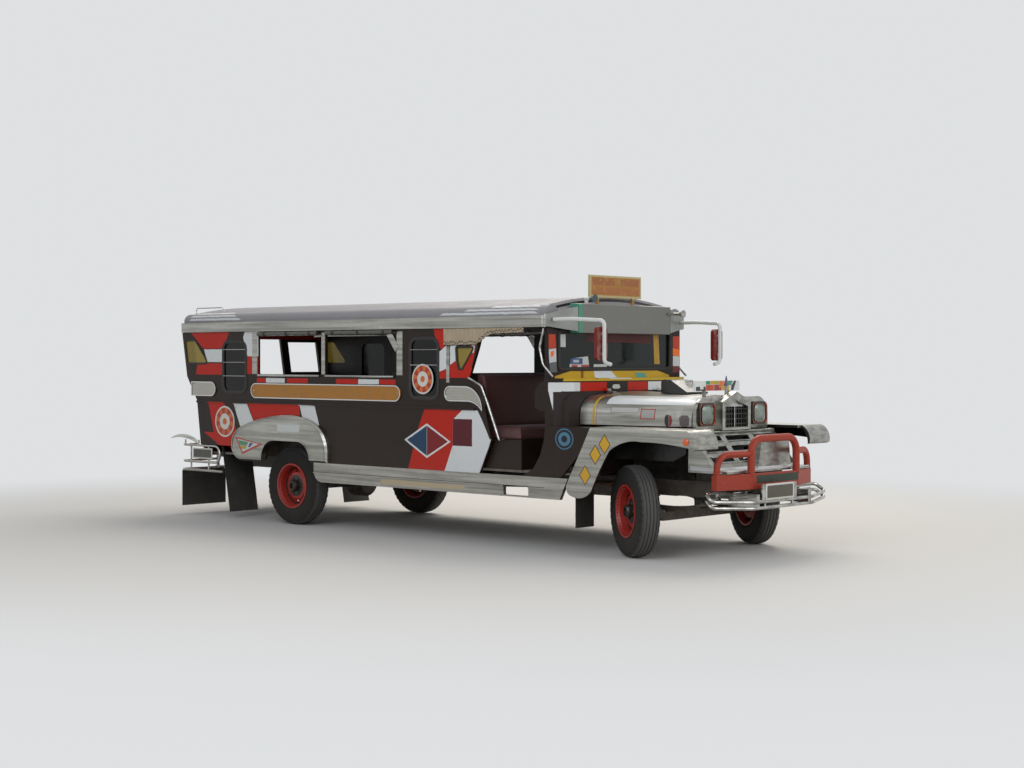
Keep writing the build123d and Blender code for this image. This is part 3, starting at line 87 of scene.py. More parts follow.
def seen_directly(tree):
    """1 for rays straight from the camera, from a mirror or through glass, and 0 for the rest."""
    rays = add_node(tree, "LightPath").outputs
    either = add_node(tree, "Math MAXIMUM", rays["Is Camera Ray"], rays["Is Glossy Ray"])
    return add_node(tree, "Math MAXIMUM", either, rays["Is Transmission Ray"])


camera_place = Vector((11.370483, -11.789513, 1.643617))
camera_turn, camera_pitch, camera_roll = 0.74477, -0.014633, 0.00092
camera = bpy.data.objects.new("camera", bpy.data.cameras.new("camera"))
camera.data.lens = 59.49
camera.data.sensor_width = 36
aim = Matrix.Rotation(camera_turn, 4, "Z") @ Matrix.Rotation(pi / 2 + camera_pitch, 4, "X")
camera.matrix_world = Matrix.Translation(camera_place) @ aim @ Matrix.Rotation(camera_roll, 4, "Z")
bpy.context.scene.collection.objects.link(camera)
bpy.context.scene.camera = camera
bpy.context.scene.view_settings.view_transform = "Standard"

# Soft lamps, columns: name, place, size, watts, colour.
lamps = [
    ("overhead", (-2.0, 5.0, 8.5), 7.0, 720, "#fff8ee"),
    ("side", (4.0, -9.0, 6.0), 6.0, 330, "#f3f7ff"),
    ("nose", (11.0, 1.0, 4.5), 5.0, 260, "#ffffff"),
]
for lamp_name, place, size, watts, colour in lamps:
    lamp = bpy.data.objects.new(lamp_name, bpy.data.lights.new(lamp_name, "AREA"))
    lamp.data.size = size
    lamp.data.energy = watts
    lamp.data.color = linear(colour)[:3]
    lamp.location = place
    lamp.rotation_euler = (Vector((0, 0, 1)) - Vector(place)).to_track_quat("-Z", "Y").to_euler()
    bpy.context.scene.collection.objects.link(lamp)

# The surround is brighter to the eye than as a lamp, and the floor fades into it between 3.9 and 9.5 m.
glow = {"Color": "#e4e6e8", "Strength": 0.95}
world = bpy.data.worlds.new("surround")
world.use_nodes = True
tree = world.node_tree
tree.nodes.clear()
ambient = add_node(tree, "Background", Color="#eef2f8", Strength=0.42)
joined = add_node(tree, "MixShader", seen_directly(tree), ambient, add_node(tree, "Background", glow))
add_node(tree, "OutputWorld", Surface=joined)
bpy.context.scene.world = world

floor_half = 60.0
floor_mesh = bpy.data.meshes.new("studio_floor")
floor_mesh.from_pydata([(-floor_half, -floor_half, 0), (floor_half, -floor_half, 0),
                        (floor_half, floor_half, 0), (-floor_half, floor_half, 0)], [], [(0, 1, 2, 3)])
studio_floor = bpy.data.objects.new("studio_floor", floor_mesh)
bpy.context.scene.collection.objects.link(studio_floor)
floor_finish = bpy.data.materials.new("studio_floor_paper")
floor_finish.use_nodes = True
tree = floor_finish.node_tree
paper = tree.nodes["Principled BSDF"]
wire(paper, {"Base Color": "#d3d1cc", "Roughness": 0.9})
reach = add_node(tree, "VectorMath LENGTH", add_node(tree, "TexCoord").outputs["Object"])
fade = add_node(tree, "MapRange", reach, 3.9, 9.5, interpolation_type="SMOOTHSTEP")
fade = add_node(tree, "Math MULTIPLY", fade, seen_directly(tree))
faded = add_node(tree, "MixShader", fade, paper, add_node(tree, "Emission", glow))
wire(tree.nodes["Material Output"], {"Surface": faded})
floor_mesh.materials.append(floor_finish)


# Chassis: a riveted ladder frame in black chassis paint, dulled by road dust and dried mud.
# Springs, axles and the drive line hang from it and wear a skin of old grease.
def start_finish(name, sockets=None):
    """A new material, its tree, its shader and the place on the object in metres."""
    material = bpy.data.materials.new(name)
    material.use_nodes = True
    tree = material.node_tree
    tree.nodes.clear()
    shader = add_node(tree, "BsdfPrincipled", sockets or {})
    add_node(tree, "OutputMaterial", Surface=shader)
    return material, tree, shader, add_node(tree, "TexCoord").outputs["Object"]


def road_dust(tree, place, blotches, amount, top, foot, least):
    """Share of road dust: it lies in blotches, thick at the foot and thinning to least at the top."""
    height = add_node(tree, "SeparateXYZ", place).outputs[2]
    low = add_node(tree, "MapRange", height, top, foot, least, 1.0)
    lying = add_node(tree, "Math MULTIPLY", low, blotches)
    return add_node(tree, "Math MULTIPLY", lying, amount, use_clamp=True)


def weathered(name, colour, worn, roughness, blotch_mm=90, wear=0.5, bump_mm=0.3, grain_mm=5,
              dust=0.35, dust_top=0.9, sockets=None):
    """A finish in patches: clean colour, worn colour, and road dust that thins with height.
    The colour is hex, or a function of the tree and the place that returns a colour socket."""
    material, tree, shader, place = start_finish(name, sockets)
    clean = colour(tree, place) if callable(colour) else colour
    patches = add_node(tree, "TexNoise", Vector=place, Scale=1000 / blotch_mm, Detail=6.0, Roughness=0.62)
    grain = add_node(tree, "TexNoise", Vector=place, Scale=1000 / grain_mm, Detail=3.0, Roughness=0.6)
    worn_share = add_node(tree, "MapRange", patches, 0.66 - 0.25 * wear, 0.86 - 0.2 * wear, 0.0,
                          0.35 + 0.6 * wear)
    skin = add_node(tree, "Mix RGBA", worn_share, clean, worn)
    settled = road_dust(tree, place, patches, 1.6 * dust, dust_top, 0.15, 0.12)
    gloss = add_node(tree, "MapRange", patches, 0.3, 0.75, max(roughness - 0.08, 0.03),
                     min(roughness + 0.16, 1.0))
    relief = add_node(tree, "Math MULTIPLY_ADD", patches, 0.5, grain)
    wire(shader, {"Base Color": add_node(tree, "Mix RGBA", settled, skin, "#9c9081"),
                  "Roughness": add_node(tree, "Math SMOOTH_MAX", gloss, settled, 0.0),
                  "Normal": add_node(tree, "Bump", Strength=0.5, Distance=bump_mm / 1000, Height=relief)})
    return material


def dress(finish, *nodes):
    """Gives CAD nodes their finish."""
    for node in nodes:
        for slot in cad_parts[node].material_slots:
            slot.material = finish


dress(weathered("chassis_paint_black", "#1b1a19", "#3a332c", 0.55, dust=0.5), "chassis_frame",
      "leaf_springs", "fuel_tank", "radiator")
# Cast iron under old grease: nearly black, with dry brown dust stuck in patches.
dress(weathered("greased_cast_iron", "#191715", "#4a3f33", 0.5, blotch_mm=60, wear=0.7, bump_mm=0.8,
                dust=0.45, sockets={"Metallic": 0.35}), "rear_axle", "front_axle", "knuckle_right",
      "knuckle_left", "tie_rod", "engine")
# Mild steel tube, rusted brown by heat.
dress(weathered("rusted_exhaust_steel", "#4b362a", "#7a4a2c", 0.75, blotch_mm=40, wear=0.9, bump_mm=0.6,
                dust=0.3, sockets={"Metallic": 0.2}), "exhaust", "prop_shaft")


# Wheels: ribbed truck tyres on pressed steel rims, painted red, round a black hub with its nuts.
# The tyre is moulded rubber, grey with dust on the tread; the rim's paint is chipped at the edges.
def make_mesh(name, vertices, faces, finish, smooth=True, body="body"):
    """A piece from its points and faces, riding on a body."""
    mesh = bpy.data.meshes.new(name)
    mesh.from_pydata([tuple(v) for v in vertices], [], faces)
    return settle(name, mesh, finish, smooth, body)


def skin_of(rings, closed=False):
    """Points and faces of rings joined in turn: the last to the first if closed, or else with end caps."""
    count = len(rings[0])
    faces = []
    for ring in range(len(rings) if closed else len(rings) - 1):
        here, there = ring * count, (ring + 1) % len(rings) * count
        for point in range(count):
            after = (point + 1) % count
            faces.append((here + point, here + after, there + after, there + point))
    if not closed:
        last = (len(rings) - 1) * count
        faces += [tuple(range(count)), tuple(range(last + count - 1, last - 1, -1))]
    return [point for ring in rings for point in ring], faces


def settle(name, mesh, finish, smooth=True, body="body"):
    """Merges a mesh's doubles, turns its faces outwards and puts it in the scene on a body."""
    work = bmesh.new()
    work.from_mesh(mesh)
    bmesh.ops.remove_doubles(work, verts=work.verts, dist=0.00002)
    bmesh.ops.recalc_face_normals(work, faces=work.faces)
    for face in work.faces:
        face.smooth = smooth
    work.to_mesh(mesh)
    work.free()
    if smooth:
        mesh.set_sharp_from_angle(angle=radians(38))
    mesh.materials.clear()
    mesh.materials.append(finish)
    piece = bpy.data.objects.new(name, mesh)
    bpy.context.scene.collection.objects.link(piece)
    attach(piece, body)
    return piece


def revolved(name, hub, axle, section, steps, finish, groove=None, body="body"):
    """A ring: a closed section of (along the axle, radius) turned about the axle.
    groove(along, radius, step) may return a new radius, which cuts the tread."""
    side = axle.cross(Vector((0, 0, 1))).normalized()
    up = side.cross(axle).normalized()
    rings = []
    for step in range(steps):
        angle = 2 * pi * step / steps
        out = side * cos(angle) + up * sin(angle)
        rings.append([hub + axle * along + out * (groove(along, radius, step) if groove else radius)
                      for along, radius in section])
    return make_mesh(name, *skin_of(rings, closed=True), finish, body=body)


def middle(node):
    """The middle of a CAD node's box."""
    low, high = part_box(node)
    return (Vector(low) + Vector(high)) / 2


sides = ((-1, "right"), (1, "left"))
rear_axle_x = middle("tyre_rear_right").x
tyre_radius = (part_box("tyre_rear_right")[1][2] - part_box("tyre_rear_right")[0][2]) / 2
steer_turn = radians(-30)
axles = {"rear": Vector((0, 1, 0)), "front": Vector((-sin(steer_turn), cos(steer_turn), 0))}
rib_grooves = (-0.044, -0.016, 0.016, 0.044)
groove_half = 0.0035
groove_depth = 0.007
tread_steps = 240
tyre_section = [(-0.079, 0.2045), (0.079, 0.2045), (0.0795, 0.226), (0.0835, 0.236), (0.0895, 0.262),
                (0.0925, 0.298), (0.0905, 0.334), (0.0845, 0.356), (0.077, 0.368)]
for centre in reversed(rib_grooves):
    for offset in (0.0115, groove_half + 0.0008, groove_half, -groove_half, -groove_half - 0.0008):
        tyre_section.append((centre + offset, tyre_radius - 0.0006 - abs(centre + offset) * 0.06))
tyre_section += [(-along, radius) for along, radius in reversed(tyre_section[2:9])]


def cut_tread(along, radius, step):
    """Four grooves round the tread and short slots across its shoulders."""
    in_groove = any(abs(along - centre) <= groove_half + 0.0001 for centre in rib_grooves)
    if in_groove and radius > tyre_radius - 0.012:
        return radius - groove_depth
    if 0.075 < abs(along) < 0.0846 and step % 6 < 2:
        return radius - 0.006
    return radius


hub_black = weathered("hub_iron_greasy", "#16130f", "#3d3025", 0.45, blotch_mm=25, wear=0.6, bump_mm=0.5,
                      dust=0.2, sockets={"Metallic": 0.3})


def from_axle(tree, place, hub, axle):
    """Distance from the axle's line, a little ragged."""
    arm = add_node(tree, "VectorMath SUBTRACT", place, hub)
    along = add_node(tree, "VectorMath CROSS_PRODUCT", arm, axle)
    reach = add_node(tree, "VectorMath LENGTH", along)
    mottle = add_node(tree, "TexNoise", Vector=place, Scale=60.0, Detail=4.0)
    return add_node(tree, "Math MULTIPLY_ADD", mottle, 0.012, reach)


def tyre_rubber(hub, axle):
    """Black sidewalls and a tread worn grey where it meets the road."""
    def colour(tree, place):
        share = add_node(tree, "MapRange", from_axle(tree, place, hub, axle), tyre_radius - 0.02,
                         tyre_radius + 0.002)
        return add_node(tree, "Mix RGBA", share, "#131313", "#4d4d4b")
    return colour


def rim_enamel(hub, axle):
    """Red enamel from the bead to the disc, with the hub and drum left black."""
    def colour(tree, place):
        ragged = from_axle(tree, place, hub, axle)
        red = add_node(tree, "MapRange", ragged, 0.112, 0.116)
        # The dark red ring at 182 mm is painted shade, standing for the shaded gap in the rim.
        painted_gap_shade = add_node(tree, "Math COMPARE", ragged, 0.182, 0.009)
        coat = add_node(tree, "Mix RGBA", red, "#15110f", "#a01d12")
        return add_node(tree, "Mix RGBA", painted_gap_shade, coat, "#2b1411")
    return colour


def repeat_on_points(name, points, shape, finish, body="body", spread=0.0):
    """Geometry Nodes: a small shape repeated on points, turned at random by up to spread."""
    carrier = bpy.data.meshes.new(name)
    carrier.from_pydata([tuple(point) for point in points], [], [])
    holder = bpy.data.objects.new(name, carrier)
    bpy.context.scene.collection.objects.link(holder)
    tree = bpy.data.node_groups.new(name, "GeometryNodeTree")
    tree.interface.new_socket("Points", in_out="INPUT", socket_type="NodeSocketGeometry")
    size_input = tree.interface.new_socket("Size", in_out="INPUT", socket_type="NodeSocketFloat")
    turn_input = tree.interface.new_socket("Turn", in_out="INPUT", socket_type="NodeSocketFloat")
    tree.interface.new_socket("Repeated", in_out="OUTPUT", socket_type="NodeSocketGeometry")
    given = add_node(tree, "NodeGroupInput")
    source = add_node(tree, "GeometryNodeObjectInfo", Object=shape)
    turned = add_node(tree, "FunctionNodeRandomValue", (-1.0, -1.0, -1.0), (1.0, 1.0, 1.0), Seed=7,
                      data_type="FLOAT_VECTOR")
    turned = add_node(tree, "VectorMath SCALE", turned, given.outputs["Turn"])
    copies = add_node(tree, "GeometryNodeInstanceOnPoints", Points=given.outputs["Points"],
                      Instance=source.outputs["Geometry"], Rotation=turned, Scale=given.outputs["Size"])
    real = add_node(tree, "GeometryNodeRealizeInstances", Geometry=copies)
    coated = add_node(tree, "GeometryNodeSetMaterial", Geometry=real, Material=finish)
    add_node(tree, "NodeGroupOutput", coated)
    maker = holder.modifiers.new(name, "NODES")
    maker.node_group = tree
    maker[size_input.identifier] = 1.0
    maker[turn_input.identifier] = spread
    bpy.context.view_layer.update()
    made = bpy.data.meshes.new_from_object(holder.evaluated_get(bpy.context.evaluated_depsgraph_get()))
    holder.modifiers.remove(maker)
    bpy.data.objects.remove(holder)
    bpy.data.objects.remove(shape)
    return settle(name, made, finish, body=body)


def stub(name, axis, radius, height, sides):
    """A short prism with a domed head, used as the shape that repeats."""
    side = axis.cross(Vector((0, 0, 1))).normalized()
    up = axis.cross(side)
    rings = []
    for rise, reach in ((0.0, radius), (height * 0.55, radius), (height * 0.88, radius * 0.7)):
        angles = [2 * pi * corner / sides for corner in range(sides)]
        rings.append([axis * rise + (side * cos(angle) + up * sin(angle)) * reach for angle in angles])
    mesh = bpy.data.meshes.new(name)
    vertices, faces = skin_of(rings)
    mesh.from_pydata([tuple(v) for v in vertices], [], faces)
    return bpy.data.objects.new(name, mesh)


nut_circle = 0.0700
nut_count = 6
for end, (side, side_name) in product(("rear", "front"), sides):
    wheel = f"{end}_{side_name}"
    hub = middle("tyre_" + wheel)
    outward = axles[end] * side
    rubber = weathered("tyre_rubber_" + wheel, tyre_rubber(hub, outward), "#262625", 0.78, blotch_mm=150,
                       wear=0.4, bump_mm=0.5, grain_mm=3, dust=0.08, dust_top=0.8,
                       sockets={"Specular IOR Level": 0.3})
    tyre = revolved("tyre_" + wheel + "_tread", hub, outward, tyre_section, tread_steps, rubber,
                    cut_tread, "wheel_" + wheel)
    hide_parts("tyre_" + wheel)
    dress(weathered("rim_enamel_" + wheel, rim_enamel(hub, outward), "#3d1a14", 0.38, blotch_mm=30,
                    wear=0.3, bump_mm=0.2, dust=0.1, dust_top=0.8), "rim_" + wheel)
    across = outward.cross(Vector((0, 0, 1)))
    spots = [hub + outward * 0.030 + (across * cos(2 * pi * n / nut_count)
                                      + Vector((0, 0, 1)) * sin(2 * pi * n / nut_count)) * nut_circle
             for n in range(nut_count)]
    nuts = repeat_on_points("nuts_" + wheel, spots, stub("nut", outward, 0.013, 0.016, 6), hub_black,
                            "wheel_" + wheel)


# Body sides: welded sheet-steel panels, painted by hand in enamel: a dark brown ground with red and
# white blocks whose edges run at a slant. The edges wander a little where the tape lifted.
def at(station):
    """X of a station counted forward from the rear axle."""
    return rear_axle_x + station


def oblong(low, high, foot, head):
    """The corners of a level rectangle, from its two ends and its two heights."""
    return [(low, foot), (high, foot), (high, head), (low, head)]


skins = {"outer": 0.90, "skin": 0.966}


def inside(tree, place, outline, view, soft_mm=3):
    """Share of paint inside a convex outline: (station, height) points seen from the side, or
    (Y, height) points for the view "front". The view "outer" keeps the paint off the inner faces of the
    fenders, "skin" off those of the walls. A number is the station that the paint starts from, and
    a number below zero is the station where it ends."""
    front = "front" in view
    points = [Vector((across if front else at(across), height)) for across, height in outline]
    centre = sum(points, Vector((0, 0))) / len(points)
    depths = []
    for here, there in zip(points, points[1:] + points[:1]):
        along = (there - here).normalized()
        normal = Vector((-along.y, along.x))
        if normal.dot(centre - here) < 0:
            normal = -normal
        corner = (0, here.x, here.y) if front else (here.x, 0, here.y)
        inwards = (0, normal.x, normal.y) if front else (normal.x, 0, normal.y)
        arm = add_node(tree, "VectorMath SUBTRACT", place, corner)
        depths.append(add_node(tree, "VectorMath DOT_PRODUCT", arm, inwards))
    axes = add_node(tree, "SeparateXYZ", place).outputs
    for limit in view:
        if limit in skins:
            apart = add_node(tree, "Math ABSOLUTE", axes[1])
            depths.append(add_node(tree, "Math SUBTRACT", apart, skins[limit]))
        elif limit not in ("front", "side"):
            ends = (axes[0], at(limit)) if limit > 0 else (at(-limit), axes[0])
            depths.append(add_node(tree, "Math SUBTRACT", *ends))
    least = depths[0]
    for depth in depths[1:]:
        least = add_node(tree, "Math MINIMUM", least, depth)
    return add_node(tree, "Math MULTIPLY", least, 1000 / soft_mm, use_clamp=True)


def painted(ground, blocks, wander_mm=6, view="side"):
    """Paint in blocks over a ground. Blocks, columns: colour, outline, and their own view if any."""
    def colour(tree, place):
        wobble = add_node(tree, "TexNoise", Vector=place, Scale=14.0, Detail=2.0).outputs["Color"]
        shift = add_node(tree, "VectorMath SUBTRACT", wobble, (0.5, 0.5, 0.5))
        shift = add_node(tree, "VectorMath SCALE", shift, wander_mm / 1000)
        moved = add_node(tree, "VectorMath ADD", place, shift)
        shade = ground
        for tint, outline, *own in blocks:
            shade = add_node(tree, "Mix RGBA", inside(tree, moved, outline, own or [view]), shade, tint)
        return shade
    return colour


def enamel(name, ground, blocks, view="side", wander_mm=6, roughness=0.36, specular=0.25, **more):
    """Hand-painted enamel in blocks over a ground, worn to a brown primer."""
    return weathered(name, painted(ground, blocks, wander_mm, view), "#4a3a31", roughness,
                     sockets={"Specular IOR Level": specular}, **more)


brown = "#22160f"
red = "#b81f0c"
white = "#d9dcdb"
upper_blocks = [
    (red, [(-1.60, 1.93), (-0.93, 1.93), (-1.03, 1.75), (-1.37, 1.75)]),
    (white, [(-1.36, 1.745), (-1.05, 1.745), (-1.05, 1.61), (-1.30, 1.61)]),
    (red, [(-1.47, 1.60), (-1.05, 1.60), (-1.05, 1.48), (-1.50, 1.48)]),
    (white, [(-0.71, 1.86), (-0.68, 1.93), (-0.45, 1.93), (-0.45, 1.67), (-0.64, 1.67)]),
    (red, [(-0.64, 1.67), (-0.45, 1.67), (-0.45, 1.49), (-0.66, 1.49)]),
    (red, [(1.96, 1.93), (2.21, 1.93), (2.21, 1.76), (2.11, 1.70), (2.08, 1.80)]),
    (white, [(2.10, 1.70), (2.22, 1.775), (2.22, 1.56), (2.11, 1.525)]),
    (red, [(2.11, 1.525), (2.22, 1.56), (2.22, 1.47), (2.11, 1.465)]),
    (white, [(2.255, 1.93), (2.36, 1.93), (2.36, 1.64), (2.255, 1.59)]),
    (red, [(2.255, 1.59), (2.36, 1.65), (2.53, 1.65), (2.53, 1.475), (2.255, 1.475)]),
    (red, [(2.45, 1.65), (2.56, 1.93), (2.63, 1.93), (2.50, 1.475)]),
    (white, [(2.50, 1.70), (2.54, 1.80), (2.58, 1.80), (2.555, 1.70)]),
    (red, oblong(-0.49, -0.345, 1.405, 1.455)),
    (white, oblong(-0.345, -0.05, 1.405, 1.455)),
    (red, oblong(-0.02, 0.3, 1.405, 1.455)),
    (red, oblong(0.71, 1.03, 1.405, 1.455)),
    (white, oblong(1.03, 1.32, 1.405, 1.455)),
    (red, oblong(1.32, 1.545, 1.405, 1.455)),
]
lower_blocks = [
    (red, [(-1.29, 1.20), (-1.03, 1.20), (-0.83, 0.94), (-0.83, 0.86), (-1.19, 0.86)]),
    (red, [(-1.45, 0.885), (-0.80, 0.885), (-0.80, 0.60), (-1.04, 0.72), (-1.37, 0.76)]),
    (white, [(-0.87, 1.19), (-0.65, 1.19), (-0.50, 0.95), (-0.75, 0.94)]),
    (red, [(-0.64, 1.195), (0.17, 1.195), (0.19, 1.00), (-0.53, 1.00)]),
    (white, [(0.17, 1.195), (0.40, 1.19), (0.47, 1.00), (0.24, 1.00)]),
    (red, [(1.93, 1.19), (2.46, 1.19), (2.31, 0.60), (1.70, 0.60), (1.86, 1.05)]),
    (white, [(2.29, 1.10), (2.41, 1.19), (2.60, 1.19), (2.77, 0.94), (2.61, 0.60), (2.29, 0.60)]),
    (white, [(2.17, 0.60), (2.29, 0.87), (2.30, 0.60)]),
    (brown, [(2.60, 1.20), (2.85, 1.20), (2.85, 0.935), (2.75, 0.935)]),
    (white, [(1.66, 0.90), (1.96, 1.06), (2.27, 0.90), (1.96, 0.74)]),
    ("#22405c", [(1.695, 0.90), (1.96, 1.04), (1.96, 0.76)]),
    ("#7c1f22", [(1.96, 1.04), (2.235, 0.90), (1.96, 0.76)]),
    ("#571a22", oblong(2.29, 2.535, 0.865, 1.11)),
]
dress(enamel("body_enamel_upper", brown, upper_blocks, "skin", roughness=0.34, blotch_mm=70, wear=0.10,
             bump_mm=0.25, grain_mm=8, dust=0.04), "side_upper_right", "side_upper_left")
dress(enamel("body_enamel_lower", brown, lower_blocks, "skin", blotch_mm=80, wear=0.12, grain_mm=8,
             dust=0.10, dust_top=0.95), "side_lower_right", "side_lower_left", "seat_bases")
rear_blocks = [
    (red, oblong(-1.5, -1.2, 0.6, 0.9)),
    (white, oblong(-1.6, -1.2, 1.12, 1.2)),
    (red, oblong(-1.8, -1.2, 1.86, 1.93)),
]
dress(enamel("body_enamel_rear", brown, rear_blocks, specular=0.35, wear=0.2, dust=0.18, dust_top=1.0),
      "rear_wall")
dress(weathered("steering_enamel_black", "#171514", "#3a3430", 0.4, wear=0.3, dust=0.1, dust_top=1.6),
      "steering_column")


# Stainless sheet: the skirts, fenders, hood and gutter are cold-rolled stainless, bent by hand.
# It is scuffed in the rolling direction, dented by use and stained where water dries.
def stainless(name, blocks=(), dents_mm=1.6, dust=0.22, dust_top=0.85, roughness=0.27, tint="#b3b2ab",
              view="side", shade_painted_within=None):
    """Dented stainless sheet, with painted blocks where there are any. Given a distance, black painted shade
    covers its back, its downward faces, and the upright faces that stand nearer to the middle than it."""
    material, tree, shader, place = start_finish(name, {"Metallic": 1.0})
    dents = add_node(tree, "TexNoise", Vector=place, Scale=1000 / 210, Detail=2.0, Roughness=0.45)
    stretched = add_node(tree, "Mapping", Vector=place, Scale=(6.0, 60.0, 900.0))
    brushing = add_node(tree, "TexNoise", Vector=stretched, Scale=1.0, Detail=3.0, Roughness=0.7)
    stains = add_node(tree, "TexNoise", Vector=place, Scale=1000 / 70, Detail=7.0, Roughness=0.7)
    stained = add_node(tree, "MapRange", stains, 0.5, 0.8, 0.0, 0.45)
    rolled = add_node(tree, "Mapping", Vector=place, Scale=(0.9, 9.0, 26.0))
    streaks = add_node(tree, "TexNoise", Vector=rolled, Scale=1.0, Detail=3.0, Roughness=0.55,
                       Distortion=0.4)
    streaked = add_node(tree, "MapRange", streaks, 0.36, 0.66, 0.0, 0.75)
    metal = add_node(tree, "Mix RGBA", streaked, tint, "#74746d")
    metal = add_node(tree, "Mix RGBA", stained, metal, "#8b877b")
    coats = [(colour, inside(tree, place, outline, own or [view])) for colour, outline, *own in blocks]
    # Painted shade: near black on the faces that look inwards or down, and on the upright faces inside the
    # arches.
    if shade_painted_within is not None:
        facing = add_node(tree, "SeparateXYZ", add_node(tree, "TexCoord").outputs["Normal"]).outputs
        across = add_node(tree, "SeparateXYZ", place).outputs[1]
        outwards = add_node(tree, "Math MULTIPLY", facing[1], add_node(tree, "Math SIGN", across))
        under = add_node(tree, "Math LESS_THAN", add_node(tree, "Math MINIMUM", outwards, facing[2]), -0.25)
        near = add_node(tree, "Math LESS_THAN", add_node(tree, "Math ABSOLUTE", across), shade_painted_within)
        upright = add_node(tree, "Math GREATER_THAN", outwards, 0.6)
        near = add_node(tree, "Math MULTIPLY", near, upright)
        coats.append(("#0f0e0d", add_node(tree, "Math MAXIMUM", under, near)))
    settled = road_dust(tree, place, stains, 2.0 * dust, dust_top, 0.25, 0.1)
    coats.append(("#9c9081", settled))
    cover = 0.0
    for colour, share in coats:
        metal = add_node(tree, "Mix RGBA", share, metal, colour)
        cover = add_node(tree, "Math MAXIMUM", cover, share)
    gloss = add_node(tree, "Math MULTIPLY_ADD", stained, 0.22, roughness)
    big = add_node(tree, "Bump", Strength=0.8, Distance=dents_mm / 100, Height=dents)
    wire(shader, {"Base Color": metal, "Metallic": add_node(tree, "MapRange", cover, 0.0, 1.0, 1.0, 0.0),
                  "Roughness": add_node(tree, "Math MULTIPLY_ADD", brushing, 0.1, gloss),
                  "Normal": add_node(tree, "Bump", Strength=0.25, Distance=0.0004, Height=brushing,
                                     Normal=big)})
    return material


# The dark line at 542 to 550 mm along the skirts is painted shade under a step in the sheet.
skirt_blocks = [("#b8a888", [(1.35, 0.525), (2.45, 0.52), (2.45, 0.475), (1.35, 0.475)]),
                ("#45433f", oblong(-0.3, 3.4, 0.542, 0.55))]
dress(stainless("stainless_skirts", skirt_blocks, dust=0.2), "side_skirts")
pennant_blocks = [
    ("#b03a2c", [(-0.78, 0.855), (-0.33, 0.79), (-0.66, 0.675)]),
    ("#c9cdca", [(-0.745, 0.835), (-0.39, 0.79), (-0.655, 0.70)]),
    ("#4f8a63", [(-0.73, 0.822), (-0.56, 0.805), (-0.59, 0.765), (-0.70, 0.77)]),
    ("#b89a3f", [(-0.70, 0.77), (-0.59, 0.765), (-0.60, 0.735), (-0.675, 0.73)]),
    ("#41507d", [(-0.54, 0.80), (-0.48, 0.795), (-0.54, 0.75), (-0.57, 0.755)]),
    ("#c9cdca", oblong(-0.11, 0.23, 0.925, 0.995)),
]
dress(stainless("stainless_rear_fenders", pennant_blocks, dust=0.2, shade_painted_within=0.86), "rear_fenders")
gutter_blocks = [("#7f827c", oblong(3.402, 3.56, 1.86, 2.11))]
dress(stainless("stainless_gutter", gutter_blocks, dents_mm=2.2, dust=0.1), "roof_gutter")
apron_blocks = [(white, [(4.66, 0.772), (5.10, 0.7455), (5.10, 0.733), (4.66, 0.733)])]
# The near-black blocks round the louvre slots are painted shade, which makes the slots look wider and
# deeper.
for row_z in (0.987, 0.904, 0.821):
    for middle_y, half in ((-0.39, 0.155), (0.0, 0.170), (0.39, 0.155)):
        apron_blocks.append(("#141312", [(middle_y - half, row_z - 0.028), (middle_y + half, row_z - 0.028),
                                         (middle_y + half, row_z + 0.026), (middle_y - half, row_z + 0.026)],
                             "front", 4.66, -4.868))
dress(stainless("stainless_apron", apron_blocks, dust=0.12), "front_apron")
fender_blocks = []
for station, height in ((4.07, 0.94), (3.97, 0.85), (3.86, 0.675)):
    for half, rise, tint in ((0.066, 0.088, "#3d2c12"), (0.056, 0.076, "#d0a01c")):
        fender_blocks.append((tint, [(station - half, height), (station, height + rise),
                                     (station + half, height), (station, height - rise)], "outer"))
dress(stainless("stainless_front_fenders", fender_blocks, dust=0.15, shade_painted_within=0.86), "front_fenders")
hood_blocks = [
    (white, [(3.80, 1.335), (4.64, 1.325), (4.60, 1.262), (3.80, 1.262)]),
    ("#c9a52c", oblong(3.69, 3.715, 1.05, 1.4)),
    ("#a33327", oblong(3.725, 3.732, 1.05, 1.4)),
    ("#8d7f7a", oblong(3.862, 4.13, 1.188, 1.242)),
    ("#b9b9b3", oblong(3.869, 4.124, 1.194, 1.236)),
    ("#a33327", oblong(4.145, 4.285, 1.14, 1.23)),
    ("#a5a49d", oblong(4.154, 4.276, 1.148, 1.222)),
    ("#231f1d", [(4.372, 1.110), (4.372, 1.160), (4.385, 1.183), (4.412, 1.183), (4.412, 1.085),
                 (4.385, 1.085)]),
    ("#8a2c22", [(4.412, 1.085), (4.412, 1.183), (4.435, 1.175), (4.447, 1.135), (4.435, 1.092)]),
    ("#5d5450", [(4.510, 1.100), (4.505, 1.160), (4.525, 1.182), (4.585, 1.182), (4.600, 1.160),
                 (4.598, 1.100), (4.580, 1.085), (4.530, 1.085)]),
]
dress(stainless("stainless_hood", hood_blocks, dust=0.08, dents_mm=1.0, shade_painted_within=0.0), "hood")


# Roof: one skin of welded sheet steel, crowned so that rain runs off, in grey enamel gone chalky.
# White stripes are brushed along its shoulder and fade where the rain has washed them.
roof_blocks = [(white, [(-1.64, low), (end, low), (end - 0.06, high), (-1.60, high)])
               for low, high, end in ((2.042, 2.066, -0.75), (2.078, 2.098, -0.85), (2.108, 2.126, -0.95))]
roof_blocks += [(white, [(start, low), (3.32, low), (3.26, high), (start + 0.05, high)])
                for low, high, start in ((2.036, 2.058, 2.1), (2.068, 2.086, 2.4), (2.096, 2.112, 2.7))]
dress(weathered("roof_enamel_grey", painted("#8f8d90", roof_blocks, 12), "#6f6a66", 0.55, blotch_mm=260,
                wear=0.25, bump_mm=0.5, grain_mm=9, dust=0.22, dust_top=2.6), "roof")
